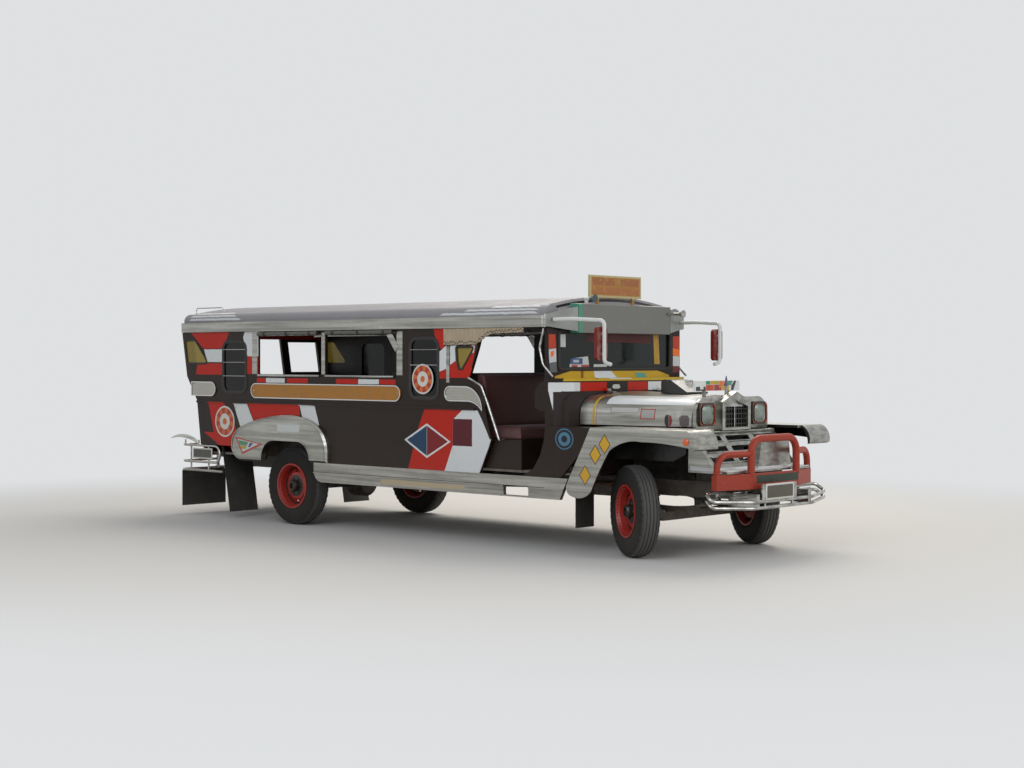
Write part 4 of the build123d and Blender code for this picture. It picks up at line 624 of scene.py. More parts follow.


# Glazing: flat panes in rubber channel. The tall side panes are near black, painted shade for the dark
# cabin;
# the rest is plain glass with a green cast, and the three-sided and the curved pane are tinted olive.
def tint_and_painted_shade(tree, place):
    """Painted shade in near black on the tall panes, olive on the small ones, and clear green glass in the
    screen.
    """
    along = add_node(tree, "SeparateXYZ", place)
    shade = "#a8943f"
    # Near black on the tall panes is painted shade, for the dark cabin seen through them.
    for start, end, tint in ((-1.10, -0.60, "#020303"), (1.70, 2.15, "#020303"), (3.20, 3.50, "#1d2623")):
        span = add_node(tree, "Math COMPARE", along, at((start + end) / 2), (end - start) / 2)
        shade = add_node(tree, "Mix RGBA", span, shade, tint)
    return shade


clear = {"Transmission Weight": 0.4, "IOR": 1.4, "Specular IOR Level": 0.35}
dress(weathered("window_glass_tint_and_painted_shade", tint_and_painted_shade, "#55564c", 0.06, blotch_mm=160, wear=0.05, bump_mm=0.02,
                grain_mm=40, dust=0.02, dust_top=1.9, sockets=clear), "glazing")


# Window rubbers: black extruded channel that holds each side pane, and chromed rods across the tall ones.
# The rubber stands a little proud of the sheet and has dulled to grey on its outer lip.
def loop_strip(name, outline, section, finish):
    """A strip of one section carried round a closed line of (point, outward, up) frames."""
    rings = [[point + outward * across + up * rise for across, rise in section]
             for point, outward, up in outline]
    return make_mesh(name, *skin_of(rings, closed=True), finish)


def rounded(corners, radius, steps=6):
    """Points along a closed outline whose corners are rounded."""
    points = []
    for before, corner, after in zip(corners[-1:] + corners[:-1], corners, corners[1:] + corners[:1]):
        before, corner, after = Vector(before), Vector(corner), Vector(after)
        start_way, end_way = (before - corner).normalized(), (after - corner).normalized()
        half_angle = start_way.angle(end_way) / 2
        centre = corner + (start_way + end_way).normalized() * (radius / sin(half_angle))
        start = corner + start_way * (radius * cos(half_angle) / sin(half_angle)) - centre
        end = corner + end_way * (radius * cos(half_angle) / sin(half_angle)) - centre
        for step in range(steps + 1):
            points.append(centre + start.slerp(end, step / steps) * radius)
    return points


def frames_round(points, facing):
    """Frames round a flat closed line, for a strip on a face that looks along facing."""
    centre = sum(points, Vector()) / len(points)
    frames = []
    for before, here, after in zip(points[-1:] + points[:-1], points, points[1:] + points[:1]):
        outward = (after - before).normalized().cross(facing)
        frames.append((here, outward if outward.dot(here - centre) > 0 else -outward, facing))
    return frames


body_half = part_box("side_upper_left")[1][1]
window_rubber = weathered("window_rubber_black", "#101010", "#2c2a28", 0.6, blotch_mm=40, wear=0.4,
                          bump_mm=0.2, grain_mm=3, dust=0.15, dust_top=2.0)
rubber_section = [(-0.009, -0.012), (0.013, -0.001), (0.015, 0.003), (0.010, 0.006), (-0.004, 0.006),
                  (-0.010, 0.002)]
# Side windows, columns: name, outline as station and height, corner radius, rubber's size.
side_windows = [
    ("tall_rear", oblong(-1.032, -0.666, 1.306, 1.816), 0.075, 1.4),
    ("tall_front", oblong(1.744, 2.102, 1.29, 1.828), 0.075, 1.4),
    ("slanted", [(-1.650, 1.598), (-1.285, 1.598), (-1.512, 1.840), (-1.690, 1.840)], 0.022, 0.8),
    ("curved", [(2.342, 1.640), (2.364, 1.556), (2.410, 1.556), (2.556, 1.752), (2.334, 1.752)], 0.014, 0.8),
]
for side, side_name in sides:
    for window_name, outline, radius, size in side_windows:
        section = [(across * size, rise) for across, rise in rubber_section]
        line = [Vector((at(point.x), side * body_half, point.y)) for point in rounded(outline, radius)]
        loop_strip(f"rubber_{window_name}_{side_name}", frames_round(line, Vector((0, side, 0))), section,
                   window_rubber)


def curved_bar(name, points, radius, corners):
    """A chromed round bar along a line of points, closed at both ends."""
    rings = []
    for index, point in enumerate(points):
        before, after = points[max(index - 1, 0)], points[min(index + 1, len(points) - 1)]
        along = (after - before).normalized()
        across = along.cross(Vector((0, 0, 1)) if abs(along.z) < 0.9 else Vector((0, 1, 0))).normalized()
        up = across.cross(along)
        angles = [2 * pi * corner / corners for corner in range(corners)]
        rings.append([point + across * (radius * cos(angle)) + up * (radius * sin(angle))
                      for angle in angles])
    return make_mesh(name, *skin_of(rings), chrome)


chrome = stainless("chromed_steel", dents_mm=0.5, dust=0.12, dust_top=1.2, roughness=0.1, tint="#c9c9c6")
# Rods across the tall side windows, columns: pane, back end, front end, heights.
window_rods = [("rear", -1.030, -0.668, (1.740, 1.610, 1.470)), ("front", 1.746, 2.100, (1.730, 1.590))]
rod_radius = 0.0042
for side, side_name in sides:
    for pane_name, back, front, heights in window_rods:
        for number, height in enumerate(heights):
            y = side * (body_half + 0.004)
            curved_bar(f"window_rod_{pane_name}_{side_name}_{number}",
                       [Vector((at(back), y, height)), Vector((at(front), y, height))], rod_radius, 10)


# Roof rail: a low rail of bent 12 mm rod, chromed, over the rear right corner of the roof, where loads
# are tied down. Its two feet are brazed to the skin of the roof.
rail_ends, rail_side, rail_foot, rail_top, rail_bend = (at(-1.72), at(-1.25)), -0.8, 2.105, 2.182, 0.02
half_rail = [(rail_ends[0], rail_foot), (rail_ends[0], rail_top - rail_bend),
             (rail_ends[0] + rail_bend, rail_top)]
rail = half_rail + [(sum(rail_ends) - x, height) for x, height in reversed(half_rail)]
curved_bar("roof_rail", [Vector((x, rail_side, height)) for x, height in rail], 0.006, 10)


# Window posts: pressed stainless covers riveted over the posts between the side windows, with
# a bright strip before the front doorway. Each is folded 3 mm proud and fixed by a row of rivets.
def sheet_cover(name, outline, y, side, thick, finish, fold=0.006):
    """A thin plate on a side wall: its outline in stations, its edge folded back to the wall."""
    base = [Vector((at(station), side * y, height)) for station, height in outline]
    centre = sum(base, Vector()) / len(base)
    raised = [point + (centre - point).normalized() * fold + Vector((0, side * thick, 0)) for point in base]
    return make_mesh(name, *skin_of([base, raised]), finish, smooth=False)


post_metal = stainless("window_post_stainless", dents_mm=0.8, dust=0.08, roughness=0.24)
# Post covers, columns: name, back station, front station, foot, head.
post_covers = [("rear", -0.560, -0.482, 1.492, 1.905), ("middle", 0.504, 0.556, 1.492, 1.905),
               ("front", 1.562, 1.640, 1.492, 1.905), ("strip", 2.212, 2.252, 1.430, 1.760)]
prop_outline = [(1.425, 1.872), (1.500, 1.892), (1.600, 1.750), (1.545, 1.712)]
rivet_metal = stainless("rivet_aluminium", dents_mm=0.3, dust=0.1, roughness=0.3, tint="#c4c4c0")
for side, side_name in sides:
    rivet_spots = []
    for cover_name, back, front, foot, head in post_covers:
        sheet_cover(f"post_cover_{cover_name}_{side_name}", oblong(back, front, foot, head),
                    body_half + 0.0002, side, 0.003, post_metal)
        for step in range(7):
            height = foot + 0.03 + (head - foot - 0.06) * step / 6
            rivet_spots += [Vector((at(station), side * (body_half + 0.003), height))
                            for station in (back + 0.013, front - 0.013)]
    sheet_cover("window_prop_" + side_name, prop_outline, body_half + 0.0035, side, 0.004, post_metal)
    for number in range(24):
        rivet_spots += [Vector((at(-1.62 + number * 0.215), side * (body_half + 0.025), height))
                        for height in (1.995, 1.945)]
    repeat_on_points("rivets_" + side_name, rivet_spots,
                     stub("rivet", Vector((0, side, 0)), 0.005, 0.003, 8), rivet_metal)


# Nose: the grille shell and lamp frames are folded stainless; the mesh behind is painted olive-black.
# The lamps are sealed glass units, fluted inside, in dark frames edged with red and orange.
lamp_y, lamp_z, lamp_half, lamp_tall = 0.378, 1.185, 0.112, 0.095
grille_blocks = []
for side in (-1, 1):
    y = side * lamp_y
    grille_blocks += [
        ("#2b2421", oblong(y - lamp_half - 0.004, y + lamp_half + 0.004,
                           lamp_z - lamp_tall - 0.004, lamp_z + lamp_tall + 0.004)),
        ("#b4512a", oblong(y - 0.101, y + 0.101, lamp_z - 0.084, lamp_z + 0.084)),
    ]
grille_blocks += [("#1c1c15", oblong(-0.163, 0.163, 1.074, 1.246)),
                  ("#34342a", [(-0.163, 1.246), (0.163, 1.246), (0, 1.300)])]
dress(stainless("stainless_grille", grille_blocks, dust=0.2, dents_mm=0.8, roughness=0.22,
                view="front"), "grille")
lamp_blocks = [("#1c1a18", oblong(-0.6, 0.6, 1.0, 1.4))]
dress(stainless("lamp_housing_dark", lamp_blocks, dust=0.2, dents_mm=0.3, view="front"), "headlamps")


def fluted_glass():
    """Lamp glass: a silvered bowl seen through upright flutes 9 mm wide."""
    material, tree, shader, place = start_finish("lamp_glass_fluted", {
        "Coat Weight": 0.6, "Coat Roughness": 0.05, "Metallic": 0.35, "Roughness": 0.16})
    flutes = add_node(tree, "TexWave", Vector=place, Scale=2 * pi / 0.009 / 20, Distortion=0.2,
                      bands_direction="Y").outputs["Fac"]
    film = add_node(tree, "TexNoise", Vector=place, Scale=25.0, Detail=5.0)
    wire(shader, {"Base Color": add_node(tree, "Mix RGBA", film, "#8f9e90", "#5f6c62"),
                  "Normal": add_node(tree, "Bump", Strength=0.5, Distance=0.002, Height=flutes)})
    return material


lamp_steps = 64


def squared(along, radius, step):
    """Radius of a rounded square, for a lamp."""
    turn = 2 * pi * step / lamp_steps
    return radius / (abs(cos(turn)) ** 5 + abs(sin(turn)) ** 5) ** 0.2


lamp_glass = fluted_glass()
forward = Vector((1, 0, 0))
grille_x = 4.630
for side, side_name in sides:
    lens_hub = Vector((at(grille_x + 0.0362), side * lamp_y, lamp_z))
    dome = [(0.0, 0.0005), (0.0, 0.070), (0.004, 0.0695), (0.009, 0.060), (0.0125, 0.040), (0.0145, 0.020),
            (0.0150, 0.0005)]
    revolved("lamp_lens_" + side_name, lens_hub, forward, dome, lamp_steps, lamp_glass, squared)
    ring = [(0.0, 0.0705), (0.006, 0.0705), (0.009, 0.0730), (0.008, 0.0765), (0.0, 0.0780)]
    revolved("lamp_ring_" + side_name, lens_hub, forward, ring, lamp_steps, chrome, squared)
down_slope, off_slope = Vector((0.614, 0, -0.789)), Vector((0.789, 0, 0.614))
for row in range(3):
    for column in (-1, 0, 1):
        slot_middle = Vector((at(4.662), column * 0.390, 1.046)) + down_slope * (0.075 + row * 0.105)
        half_slot = Vector((0, 0.150 if column else 0.165, 0))
        for number, shift in enumerate((-0.025, 0.034)):
            lip = slot_middle + down_slope * shift + off_slope * 0.003
            curved_bar(f"louvre_lip_{row}_{column}_{number}", [lip - half_slot, lip + half_slot], 0.0055, 12)
curved_bar("grille_divider", [Vector((at(4.676), 0, height)) for height in (1.075, 1.248)], 0.006, 10)
peak = [(-0.168, 1.246), (0.168, 1.246), (0.168, 1.252), (0.0, 1.306), (-0.168, 1.252)]
peak_rings = [[Vector((at(station), y, z)) for y, z in peak] for station in (4.671, 4.674)]
peak_chrome = stainless("peak_plate_chromed", dents_mm=4.0, dust=0.05, roughness=0.1, tint="#c9c9c6")
make_mesh("grille_peak_plate", *skin_of(peak_rings), peak_chrome, smooth=False)
amber = weathered("indicator_lens_amber", "#d8590f", "#a8440f", 0.15, blotch_mm=20, wear=0.2, bump_mm=0.1,
                  dust=0.1, sockets={"Coat Weight": 0.6})
for side, side_name in sides:
    lens = [(0.0, 0.0005), (0.0, 0.030), (0.007, 0.028), (0.012, 0.017), (0.014, 0.0005)]
    revolved("indicator_" + side_name, Vector((at(4.905), side * 0.9895, 0.985)), Vector((0, side, 0)),
             lens, 32, amber)


# Hood ornaments: an air scoop in black paint, a board of coloured blocks where a name would stand, and
# a chromed finial with a coloured glass drop. All are bolted through the hood.
board_blocks = [
    ("#1d2733", oblong(-0.31, -0.17, 1.37, 1.415)),
    ("#dfe1dd", oblong(-0.25, -0.20, 1.39, 1.47)),
    ("#2f8f74", oblong(-0.17, -0.11, 1.43, 1.47)),
    ("#c9502c", oblong(-0.17, -0.05, 1.37, 1.43)),
    ("#c9a52c", oblong(-0.11, 0.02, 1.43, 1.47)),
    ("#b02a22", oblong(-0.05, 0.06, 1.37, 1.43)),
    ("#d8782a", oblong(0.02, 0.10, 1.40, 1.47)),
    ("#c9a52c", oblong(0.06, 0.17, 1.37, 1.42)),
    ("#2f8f74", [(0.15, 1.47), (0.23, 1.47), (0.20, 1.42), (0.15, 1.42)]),
    ("#20242c", [(0.20, 1.42), (0.25, 1.47), (0.28, 1.47), (0.23, 1.37), (0.19, 1.37)]),
    ("#d9dcdb", [(0.28, 1.47), (0.33, 1.47), (0.33, 1.37), (0.25, 1.37)]),
    ("#161716", oblong(3.9, 4.45, 1.31, 1.49), "side"),
    ("#8a8a86", oblong(4.465, 4.515, 1.3, 1.377), "side"),
    ("#9c9a94", oblong(4.56, 4.62, 1.3, 1.42), "side"),
    ("#4a3a63", oblong(4.56, 4.62, 1.42, 1.52), "side"),
]
dress(weathered("ornament_enamel", painted("#dfe1dd", board_blocks, 4, "front"), "#4a3a31", 0.3,
                blotch_mm=30, wear=0.25, bump_mm=0.3, grain_mm=4, dust=0.12, dust_top=1.6,
                sockets={"Coat Weight": 0.3}), "hood_ornaments")


# Bull bar and bumper: bent water pipe and a folded beam in red oxide enamel, chipped to bare steel on
# every edge, and behind the plate two thin chromed tubes with four slats.
bar_blocks = [("#27352a", oblong(-0.29, 0.33, 0.630, 0.698), "front")]
dress(weathered("bull_bar_enamel_red", painted("#98301a", bar_blocks), "#8d857c", 0.42, blotch_mm=18,
                wear=0.3, bump_mm=0.9, grain_mm=7, dust=0.08, dust_top=1.2,
                sockets={"Specular IOR Level": 0.3}), "bull_bar")
dress(chrome, "front_bumper", "grab_rails")
number_plate = weathered("plate_enamel_blank", "#3a3a2c", "#6b6150", 0.4, blotch_mm=30, wear=0.4,
                         bump_mm=0.2, dust=0.3)
plate_rim_paint = weathered("plate_frame_white", "#d3d3cc", "#8d857c", 0.4, blotch_mm=25, wear=0.4,
                            bump_mm=0.2, dust=0.3)


def flat_panel(name, centre, across, half_width, half_height, corner, thick, finish):
    """A flat plate with rounded corners and a bevelled face, standing on its back."""
    flat = oblong(-half_width, half_width, -half_height, half_height)
    ring = rounded([(y, z, 0) for y, z in flat], corner)
    rings = [[centre + across.cross(upwards) * rise + (across * point.x + upwards * point.y) * share
              for point in ring]
             for rise, share in ((0.0, 1.0), (thick * 0.6, 1.0), (thick, 1 - thick * 0.5 / half_height))]
    return make_mesh(name, *skin_of(rings), finish)


leftwards, upwards = Vector((0, 1, 0)), Vector((0, 0, 1))
plate_centre = Vector((at(5.1862), -0.080, 0.565))
flat_panel("front_plate_frame", plate_centre, leftwards, 0.205, 0.066, 0.012, 0.004, plate_rim_paint)
flat_panel("front_plate", plate_centre + forward * 0.004, leftwards, 0.186, 0.050, 0.008, 0.003,
           number_plate)


# Windscreen frame and cowl: painted sheet. A yellow band runs under the screen, with red and white
# blocks below it, and the corner posts wear orange and white stickers.
yellow = "#c9a52c"
screen_blocks = [
    (yellow, [(-0.86, 1.455), (-0.84, 1.50), (-0.54, 1.562), (0.54, 1.556), (0.77, 1.50), (0.78, 1.455)]),
    ("#d9dcdb", [(-0.33, 1.555), (-0.10, 1.555), (0.02, 1.47), (-0.30, 1.47)]),
    ("#5fa39a", [(0.25, 1.525), (0.42, 1.52), (0.42, 1.475), (0.28, 1.48)]),
    ("#8f5a22", oblong(-0.5, -0.46, 1.47, 1.545)),
    ("#c4472c", [(-0.925, 1.86), (-0.835, 1.86), (-0.825, 1.74), (-0.925, 1.73)]),
    ("#d9dcdb", [(-0.925, 1.73), (-0.825, 1.74), (-0.82, 1.62), (-0.915, 1.61)]),
    ("#6d6f73", [(-0.915, 1.61), (-0.82, 1.62), (-0.815, 1.53), (-0.905, 1.53)]),
    ("#ff8030", [(-0.90, 1.71), (-0.85, 1.72), (-0.86, 1.67), (-0.90, 1.66)]),
    ("#c4472c", [(0.825, 1.86), (0.925, 1.86), (0.925, 1.74), (0.825, 1.75)]),
    ("#ff8030", [(0.825, 1.75), (0.925, 1.74), (0.925, 1.67), (0.825, 1.68)]),
    ("#d9dcdb", [(0.825, 1.68), (0.925, 1.67), (0.925, 1.58), (0.825, 1.58)]),
    ("#7a3430", oblong(0.825, 0.925, 1.52, 1.58)),
]
badge = [[(3.604 + radius * cos(pi * n / 8), 0.968 + 0.88 * radius * sin(pi * n / 8))
          for n in range(16)]
         for radius in (0.105, 0.092, 0.070, 0.036)]
cowl_blocks = screen_blocks[:4] + [
    (white, oblong(-0.97, -0.70, 1.368, 1.447), "front", 3.42),
    (white, [(-0.968, 1.42), (-0.86, 1.42), (-0.875, 1.30), (-0.905, 1.20), (-0.925, 1.20)], "front", 3.42),
    (red, oblong(-0.70, -0.34, 1.368, 1.447), "front"),
    (red, oblong(-0.05, 0.23, 1.368, 1.447), "front"),
    ("#c9cdca", [(-0.27, 1.40), (-0.25, 1.425), (-0.17, 1.425), (-0.15, 1.40), (-0.17, 1.385),
                 (-0.25, 1.385)], "front"),
    (white, oblong(0.24, 0.53, 1.368, 1.447), "front"),
    ("#2c2422", oblong(3.445, 3.6, 1.06, 1.366), "side"),
]
cowl_blocks += [(tint, outline, "outer")
                for tint, outline in zip(("#456f8a", "#231d1b", "#4f7b96", "#20242a"), badge)]
dress(enamel("screen_frame_enamel", brown, screen_blocks, "front", 4, 0.34, wear=0.1, dust=0.04,
             dust_top=1.5), "windscreen_frame")
dress(enamel("cowl_enamel", brown, cowl_blocks, "front", 4, wear=0.12, dust=0.1, dust_top=0.95), "cowl")
screen_face, film_face = at(3.3955), at(3.3757)
screen_ring = [Vector((screen_face, point.x, point.y))
               for point in rounded(oblong(-0.785, 0.785, 1.560, 1.890), 0.03)]
loop_strip("rubber_windscreen", frames_round(screen_ring, forward), [
    (-0.014, -0.014), (0.014, -0.001), (0.018, 0.004), (0.010, 0.008), (-0.008, 0.006), (-0.016, -0.004)],
    window_rubber)


# Screen stickers: two printed strips and a sun strip on the glass, all of them plain coloured bands.
# They are thin film, laid on the outside of the pane.
def sticker_on_screen(name, outline, finish):
    """A film of a given outline in (Y, Z) on the windscreen."""
    rings = [[(film_face + rise, y, z) for y, z in outline] for rise in (0.0, 0.0006)]
    return make_mesh(name, *skin_of(rings), finish, smooth=False)


film_blocks = [
    ("#2d4a7c", oblong(-0.62, -0.45, 1.60, 1.655)),
    ("#b7bcc0", oblong(-0.58, -0.50, 1.615, 1.64)),
    ("#a8483f", oblong(-0.60, -0.36, 1.572, 1.598)),
    ("#d8d6cd", oblong(-0.52, -0.47, 1.575, 1.595)),
]
film = weathered("vinyl_film_printed", painted("#c9cbc8", film_blocks, 3, "front"), "#7d7a70", 0.4,
                 blotch_mm=20, wear=0.3, bump_mm=0.05, dust=0.1, dust_top=2.0)
yellow_film = weathered("vinyl_film_yellow", "#b98f25", "#6a4a1c", 0.4, blotch_mm=24, wear=0.6,
                        bump_mm=0.05, dust=0.1, dust_top=2.0)
sticker_on_screen("screen_sticker_low", [(-0.63, 1.57), (-0.36, 1.57), (-0.38, 1.67), (-0.61, 1.65)], film)
sticker_on_screen("screen_sticker_mid", oblong(-0.3, -0.12, 1.57, 1.6), film)
sticker_on_screen("screen_sticker_post", [(0.57, 1.60), (0.65, 1.60), (0.63, 1.88), (0.55, 1.88)],
                  yellow_film)
sun_film = weathered("vinyl_film_sun_strip", "#4f1712", "#2f1a16", 0.35, blotch_mm=90, wear=0.6,
                     bump_mm=0.05, dust=0.02, dust_top=2.0, sockets={"Specular IOR Level": 0.3})
sticker_on_screen("screen_sun_strip", [(-0.40, 1.80), (0.52, 1.79), (0.52, 1.885), (-0.40, 1.885)], sun_film)
sticker_on_screen("screen_sticker_tag", oblong(-0.755, -0.68, 1.75, 1.86), film)


# Roof front: a folded sheet visor box, sprayed grey, with a green strip down its right-hand end, and a
# blank route board above it in ochre enamel, its edge pale and its field faded in patches.
visor_blocks = [("#2f8f74", oblong(-0.66, -0.598, 1.86, 2.14), "front")]
dress(weathered("visor_enamel_grey", painted("#6f716c", visor_blocks, 3), "#8d8c86", 0.45, blotch_mm=120,
                wear=0.3, bump_mm=0.3, dust=0.3, dust_top=2.6), "visor_box")
board_field = [
    ("#c2b280", oblong(-0.37, 0.37, 2.18, 2.40)),
    ("#a8701f", oblong(-0.345, 0.345, 2.21, 2.375)),
    ("#9c5a26", oblong(-0.33, 0.33, 2.30, 2.365)),
    ("#a8701f", oblong(-0.02, 0.05, 2.30, 2.365)),
    ("#a86428", oblong(-0.33, 0.33, 2.22, 2.28)),
]
dress(weathered("route_board_enamel", painted("#a8701f", board_field, 8, "front"), "#c4a766", 0.5,
                blotch_mm=35, wear=0.5, bump_mm=0.3, dust=0.3, dust_top=2.8), "route_sign")
horn_blocks = [("#39484c", oblong(3.5, 3.58, 2.1, 2.24)), ("#d6d8d4", oblong(3.43, 3.5, 2.1, 2.24))]
dress(stainless("horn_steel", horn_blocks, dust=0.2, dents_mm=0.3, roughness=0.22), "horns")


# Mirrors: white-painted tube arms that carry pressed steel housings in red, with glass facing back.
# The red has chalked and the white is chipped at the clamps.
mirror_blocks = [("#74180f", oblong(3.86, 3.9128, 1.62, 1.93))]
dress(weathered("mirror_enamel", painted("#d3d5d0", mirror_blocks, 2), "#7a6a5e", 0.36, blotch_mm=45,
                wear=0.15, bump_mm=0.3, dust=0.05, dust_top=2.4, sockets={"Specular IOR Level": 0.3}),
      "mirrors")
mirror_back, mirror_y, mirror_z = at(3.876), 0.825, 1.775
mirror_glass = stainless("mirror_glass_silvered", dents_mm=0.05, dust=0.05, roughness=0.03, tint="#d5d8d8")
for side, side_name in sides:
    flat_panel("mirror_glass_" + side_name, Vector((mirror_back - 0.0002, side * mirror_y, mirror_z)),
               -leftwards, 0.058, 0.132, 0.026, 0.002, mirror_glass)


# Mud flaps: cut from old conveyor rubber and hung by a strip, grey with dust and split at the foot.
# The floor, benches and dash inside are board and sheet in brown paint worn to the primer.
dress(weathered("flap_rubber", "#1d1e1d", "#343634", 0.75, blotch_mm=120, wear=0.6, bump_mm=0.8,
                grain_mm=6, dust=0.15, dust_top=0.6), "mudflaps")
dress(weathered("floor_plate_worn", "#3a3430", "#6a6460", 0.6, blotch_mm=130, wear=0.8, bump_mm=0.6,
                grain_mm=10, dust=0.6, dust_top=1.2, sockets={"Metallic": 0.2}), "cabin_floor")
bumper_blocks = [
    ("#d3d3cc", oblong(-1.565, -1.225, 0.595, 0.717)),
    ("#3a3a2c", oblong(-1.545, -1.245, 0.612, 0.7)),
]
dress(stainless("rear_loops_chrome", bumper_blocks, dust=0.25, dents_mm=0.5, roughness=0.14,
                tint="#c4c4c0"), "rear_bumper")


# Side signs: pressed panels left blank: a long one in ochre enamel, and a tab and a leaf in
# engine-turned steel. Each has a raised chromed rim and is held by a bolt at its end.
def sign_metal():
    """Chrome on the rims, ochre enamel in the long panel and turned steel in the short ones."""
    material, tree, shader, place = start_finish("side_sign_panels")
    axes = add_node(tree, "SeparateXYZ", place)
    reach = add_node(tree, "Math ABSOLUTE", axes.outputs[1])
    rim = add_node(tree, "Math GREATER_THAN", reach, body_half + 0.0105)
    long_panel = add_node(tree, "Math COMPARE", axes, at(0.525), 1.12)
    patches = add_node(tree, "TexNoise", Vector=place, Scale=22.0, Detail=6.0, Roughness=0.65)
    swirls = add_node(tree, "TexVoronoi", Vector=place, Scale=1000 / 14, Randomness=0.15,
                      distance="EUCLIDEAN")
    worn = add_node(tree, "MapRange", patches, 0.5, 0.72, 0.0, 0.75)
    ochre = add_node(tree, "Mix RGBA", worn, "#a8701f", "#8a6a45")
    turned = add_node(tree, "Mix RGBA", swirls.outputs["Distance"], "#c6c4bb", "#77746a")
    field = add_node(tree, "Mix RGBA", long_panel, turned, ochre)
    bare = add_node(tree, "Math SUBTRACT", 1.0, long_panel)
    bare = add_node(tree, "Math MAXIMUM", bare, rim)
    wire(shader, {"Base Color": add_node(tree, "Mix RGBA", rim, field, "#c9c9c6"),
                  "Metallic": bare, "Roughness": add_node(tree, "MapRange", bare, 0.0, 1.0, 0.45, 0.2),
                  "Normal": add_node(tree, "Bump", Strength=0.4, Distance=0.0008,
                                     Height=swirls.outputs["Distance"])})
    return material


dress(sign_metal(), "side_signs")
for side, side_name in sides:
    bolt_spots = [Vector((at(station), side * (body_half + 0.008), height))
                  for station, height in ((-1.185, 1.333), (-0.525, 1.325), (1.575, 1.325), (2.235, 1.335),
                                          (-1.53, 1.39), (-1.53, 1.275))]
    repeat_on_points("sign_bolts_" + side_name, bolt_spots,
                     stub("sign_bolt", Vector((0, side, 0)), 0.008, 0.006, 6), rivet_metal)


# Roundels: discs of vinyl film as wide as a wheel, one low behind the rear window and one across the
# front pane. Each has a white edge and a plain sunburst in orange and red round a white middle.
def sunburst(hub_station, hub_height, radius):
    """A plain sunburst of eight rays, drawn about a point of the side."""
    def colour(tree, place):
        hub = (at(hub_station), 0, hub_height)
        arm = add_node(tree, "VectorMath SUBTRACT", place, hub)
        parts = add_node(tree, "SeparateXYZ", arm)
        turn = add_node(tree, "Math ARCTAN2", parts.outputs[2], parts)
        wave = add_node(tree, "Math MULTIPLY", turn, 8.0)
        wave = add_node(tree, "Math SINE", wave)
        ray = add_node(tree, "MapRange", wave, -0.15, 0.15)
        flat = add_node(tree, "CombineXYZ", {0: parts, 2: parts.outputs[2]})
        reach = add_node(tree, "VectorMath LENGTH", flat)
        shade = add_node(tree, "Mix RGBA", ray, "#c9641f", "#a82c20")
        for share, tint in ((0.52, "#d5d3cb"), (0.22, "#c9641f")):
            ring = add_node(tree, "MapRange", reach, radius * share, radius * share - 0.003)
            shade = add_node(tree, "Mix RGBA", ring, shade, tint)
        ring = add_node(tree, "MapRange", reach, radius * 0.88, radius * 0.88 + 0.003)
        return add_node(tree, "Mix RGBA", ring, shade, "#d5d3cb")
    return colour


# Roundels, columns: name, station, height, radius.
roundels = [("low", -1.010, 1.000, 0.160), ("pane", 1.912, 1.462, 0.138)]
for roundel_name, station, height, radius in roundels:
    finish = weathered("roundel_film_" + roundel_name, sunburst(station, height, radius), "#8a8378", 0.4,
                       blotch_mm=40, wear=0.25, bump_mm=0.05, dust=0.2, dust_top=1.3)
    for side, side_name in sides:
        stand = body_half + (0.0002 if roundel_name == "low" else 0.0065)
        disc = [(0.0, 0.0005), (0.0, radius), (0.0006, radius - 0.0004), (0.0006, 0.0005)]
        revolved(f"roundel_{roundel_name}_{side_name}", Vector((at(station), side * stand, height)),
                 Vector((0, side, 0)), disc, 64, finish)


# Seats: coconut fibre and foam sewn into dark red vinyl, in channels across the long benches.
# The covers are tight, crowned between the seams and polished where people slide.
vinyl = weathered("seat_vinyl_dark_red", "#4a1c1a", "#2a1412", 0.42, blotch_mm=180, wear=0.5,
                  bump_mm=0.35, grain_mm=2.2, dust=0.15, dust_top=1.6, sockets={"Sheen Weight": 0.1})


def box_grid(low, high, cell):
    """A closed box of even cells, as points and faces."""
    size = high - low
    counts = [max(2, round(size[axis] / cell)) for axis in range(3)]
    vertices, faces = [], []
    for axis in range(3):
        first, second = (axis + 1) % 3, (axis + 2) % 3
        for end in (0, 1):
            start = len(vertices)
            for i in range(counts[first] + 1):
                for j in range(counts[second] + 1):
                    point = Vector(low)
                    point[axis] = (low, high)[end][axis]
                    point[first] += size[first] * i / counts[first]
                    point[second] += size[second] * j / counts[second]
                    vertices.append(point)
            row = counts[second] + 1
            faces += [(start + i * row + j, start + i * row + j + 1, start + (i + 1) * row + j + 1,
                       start + (i + 1) * row + j)
                      for i in range(counts[first]) for j in range(counts[second])]
    return vertices, faces


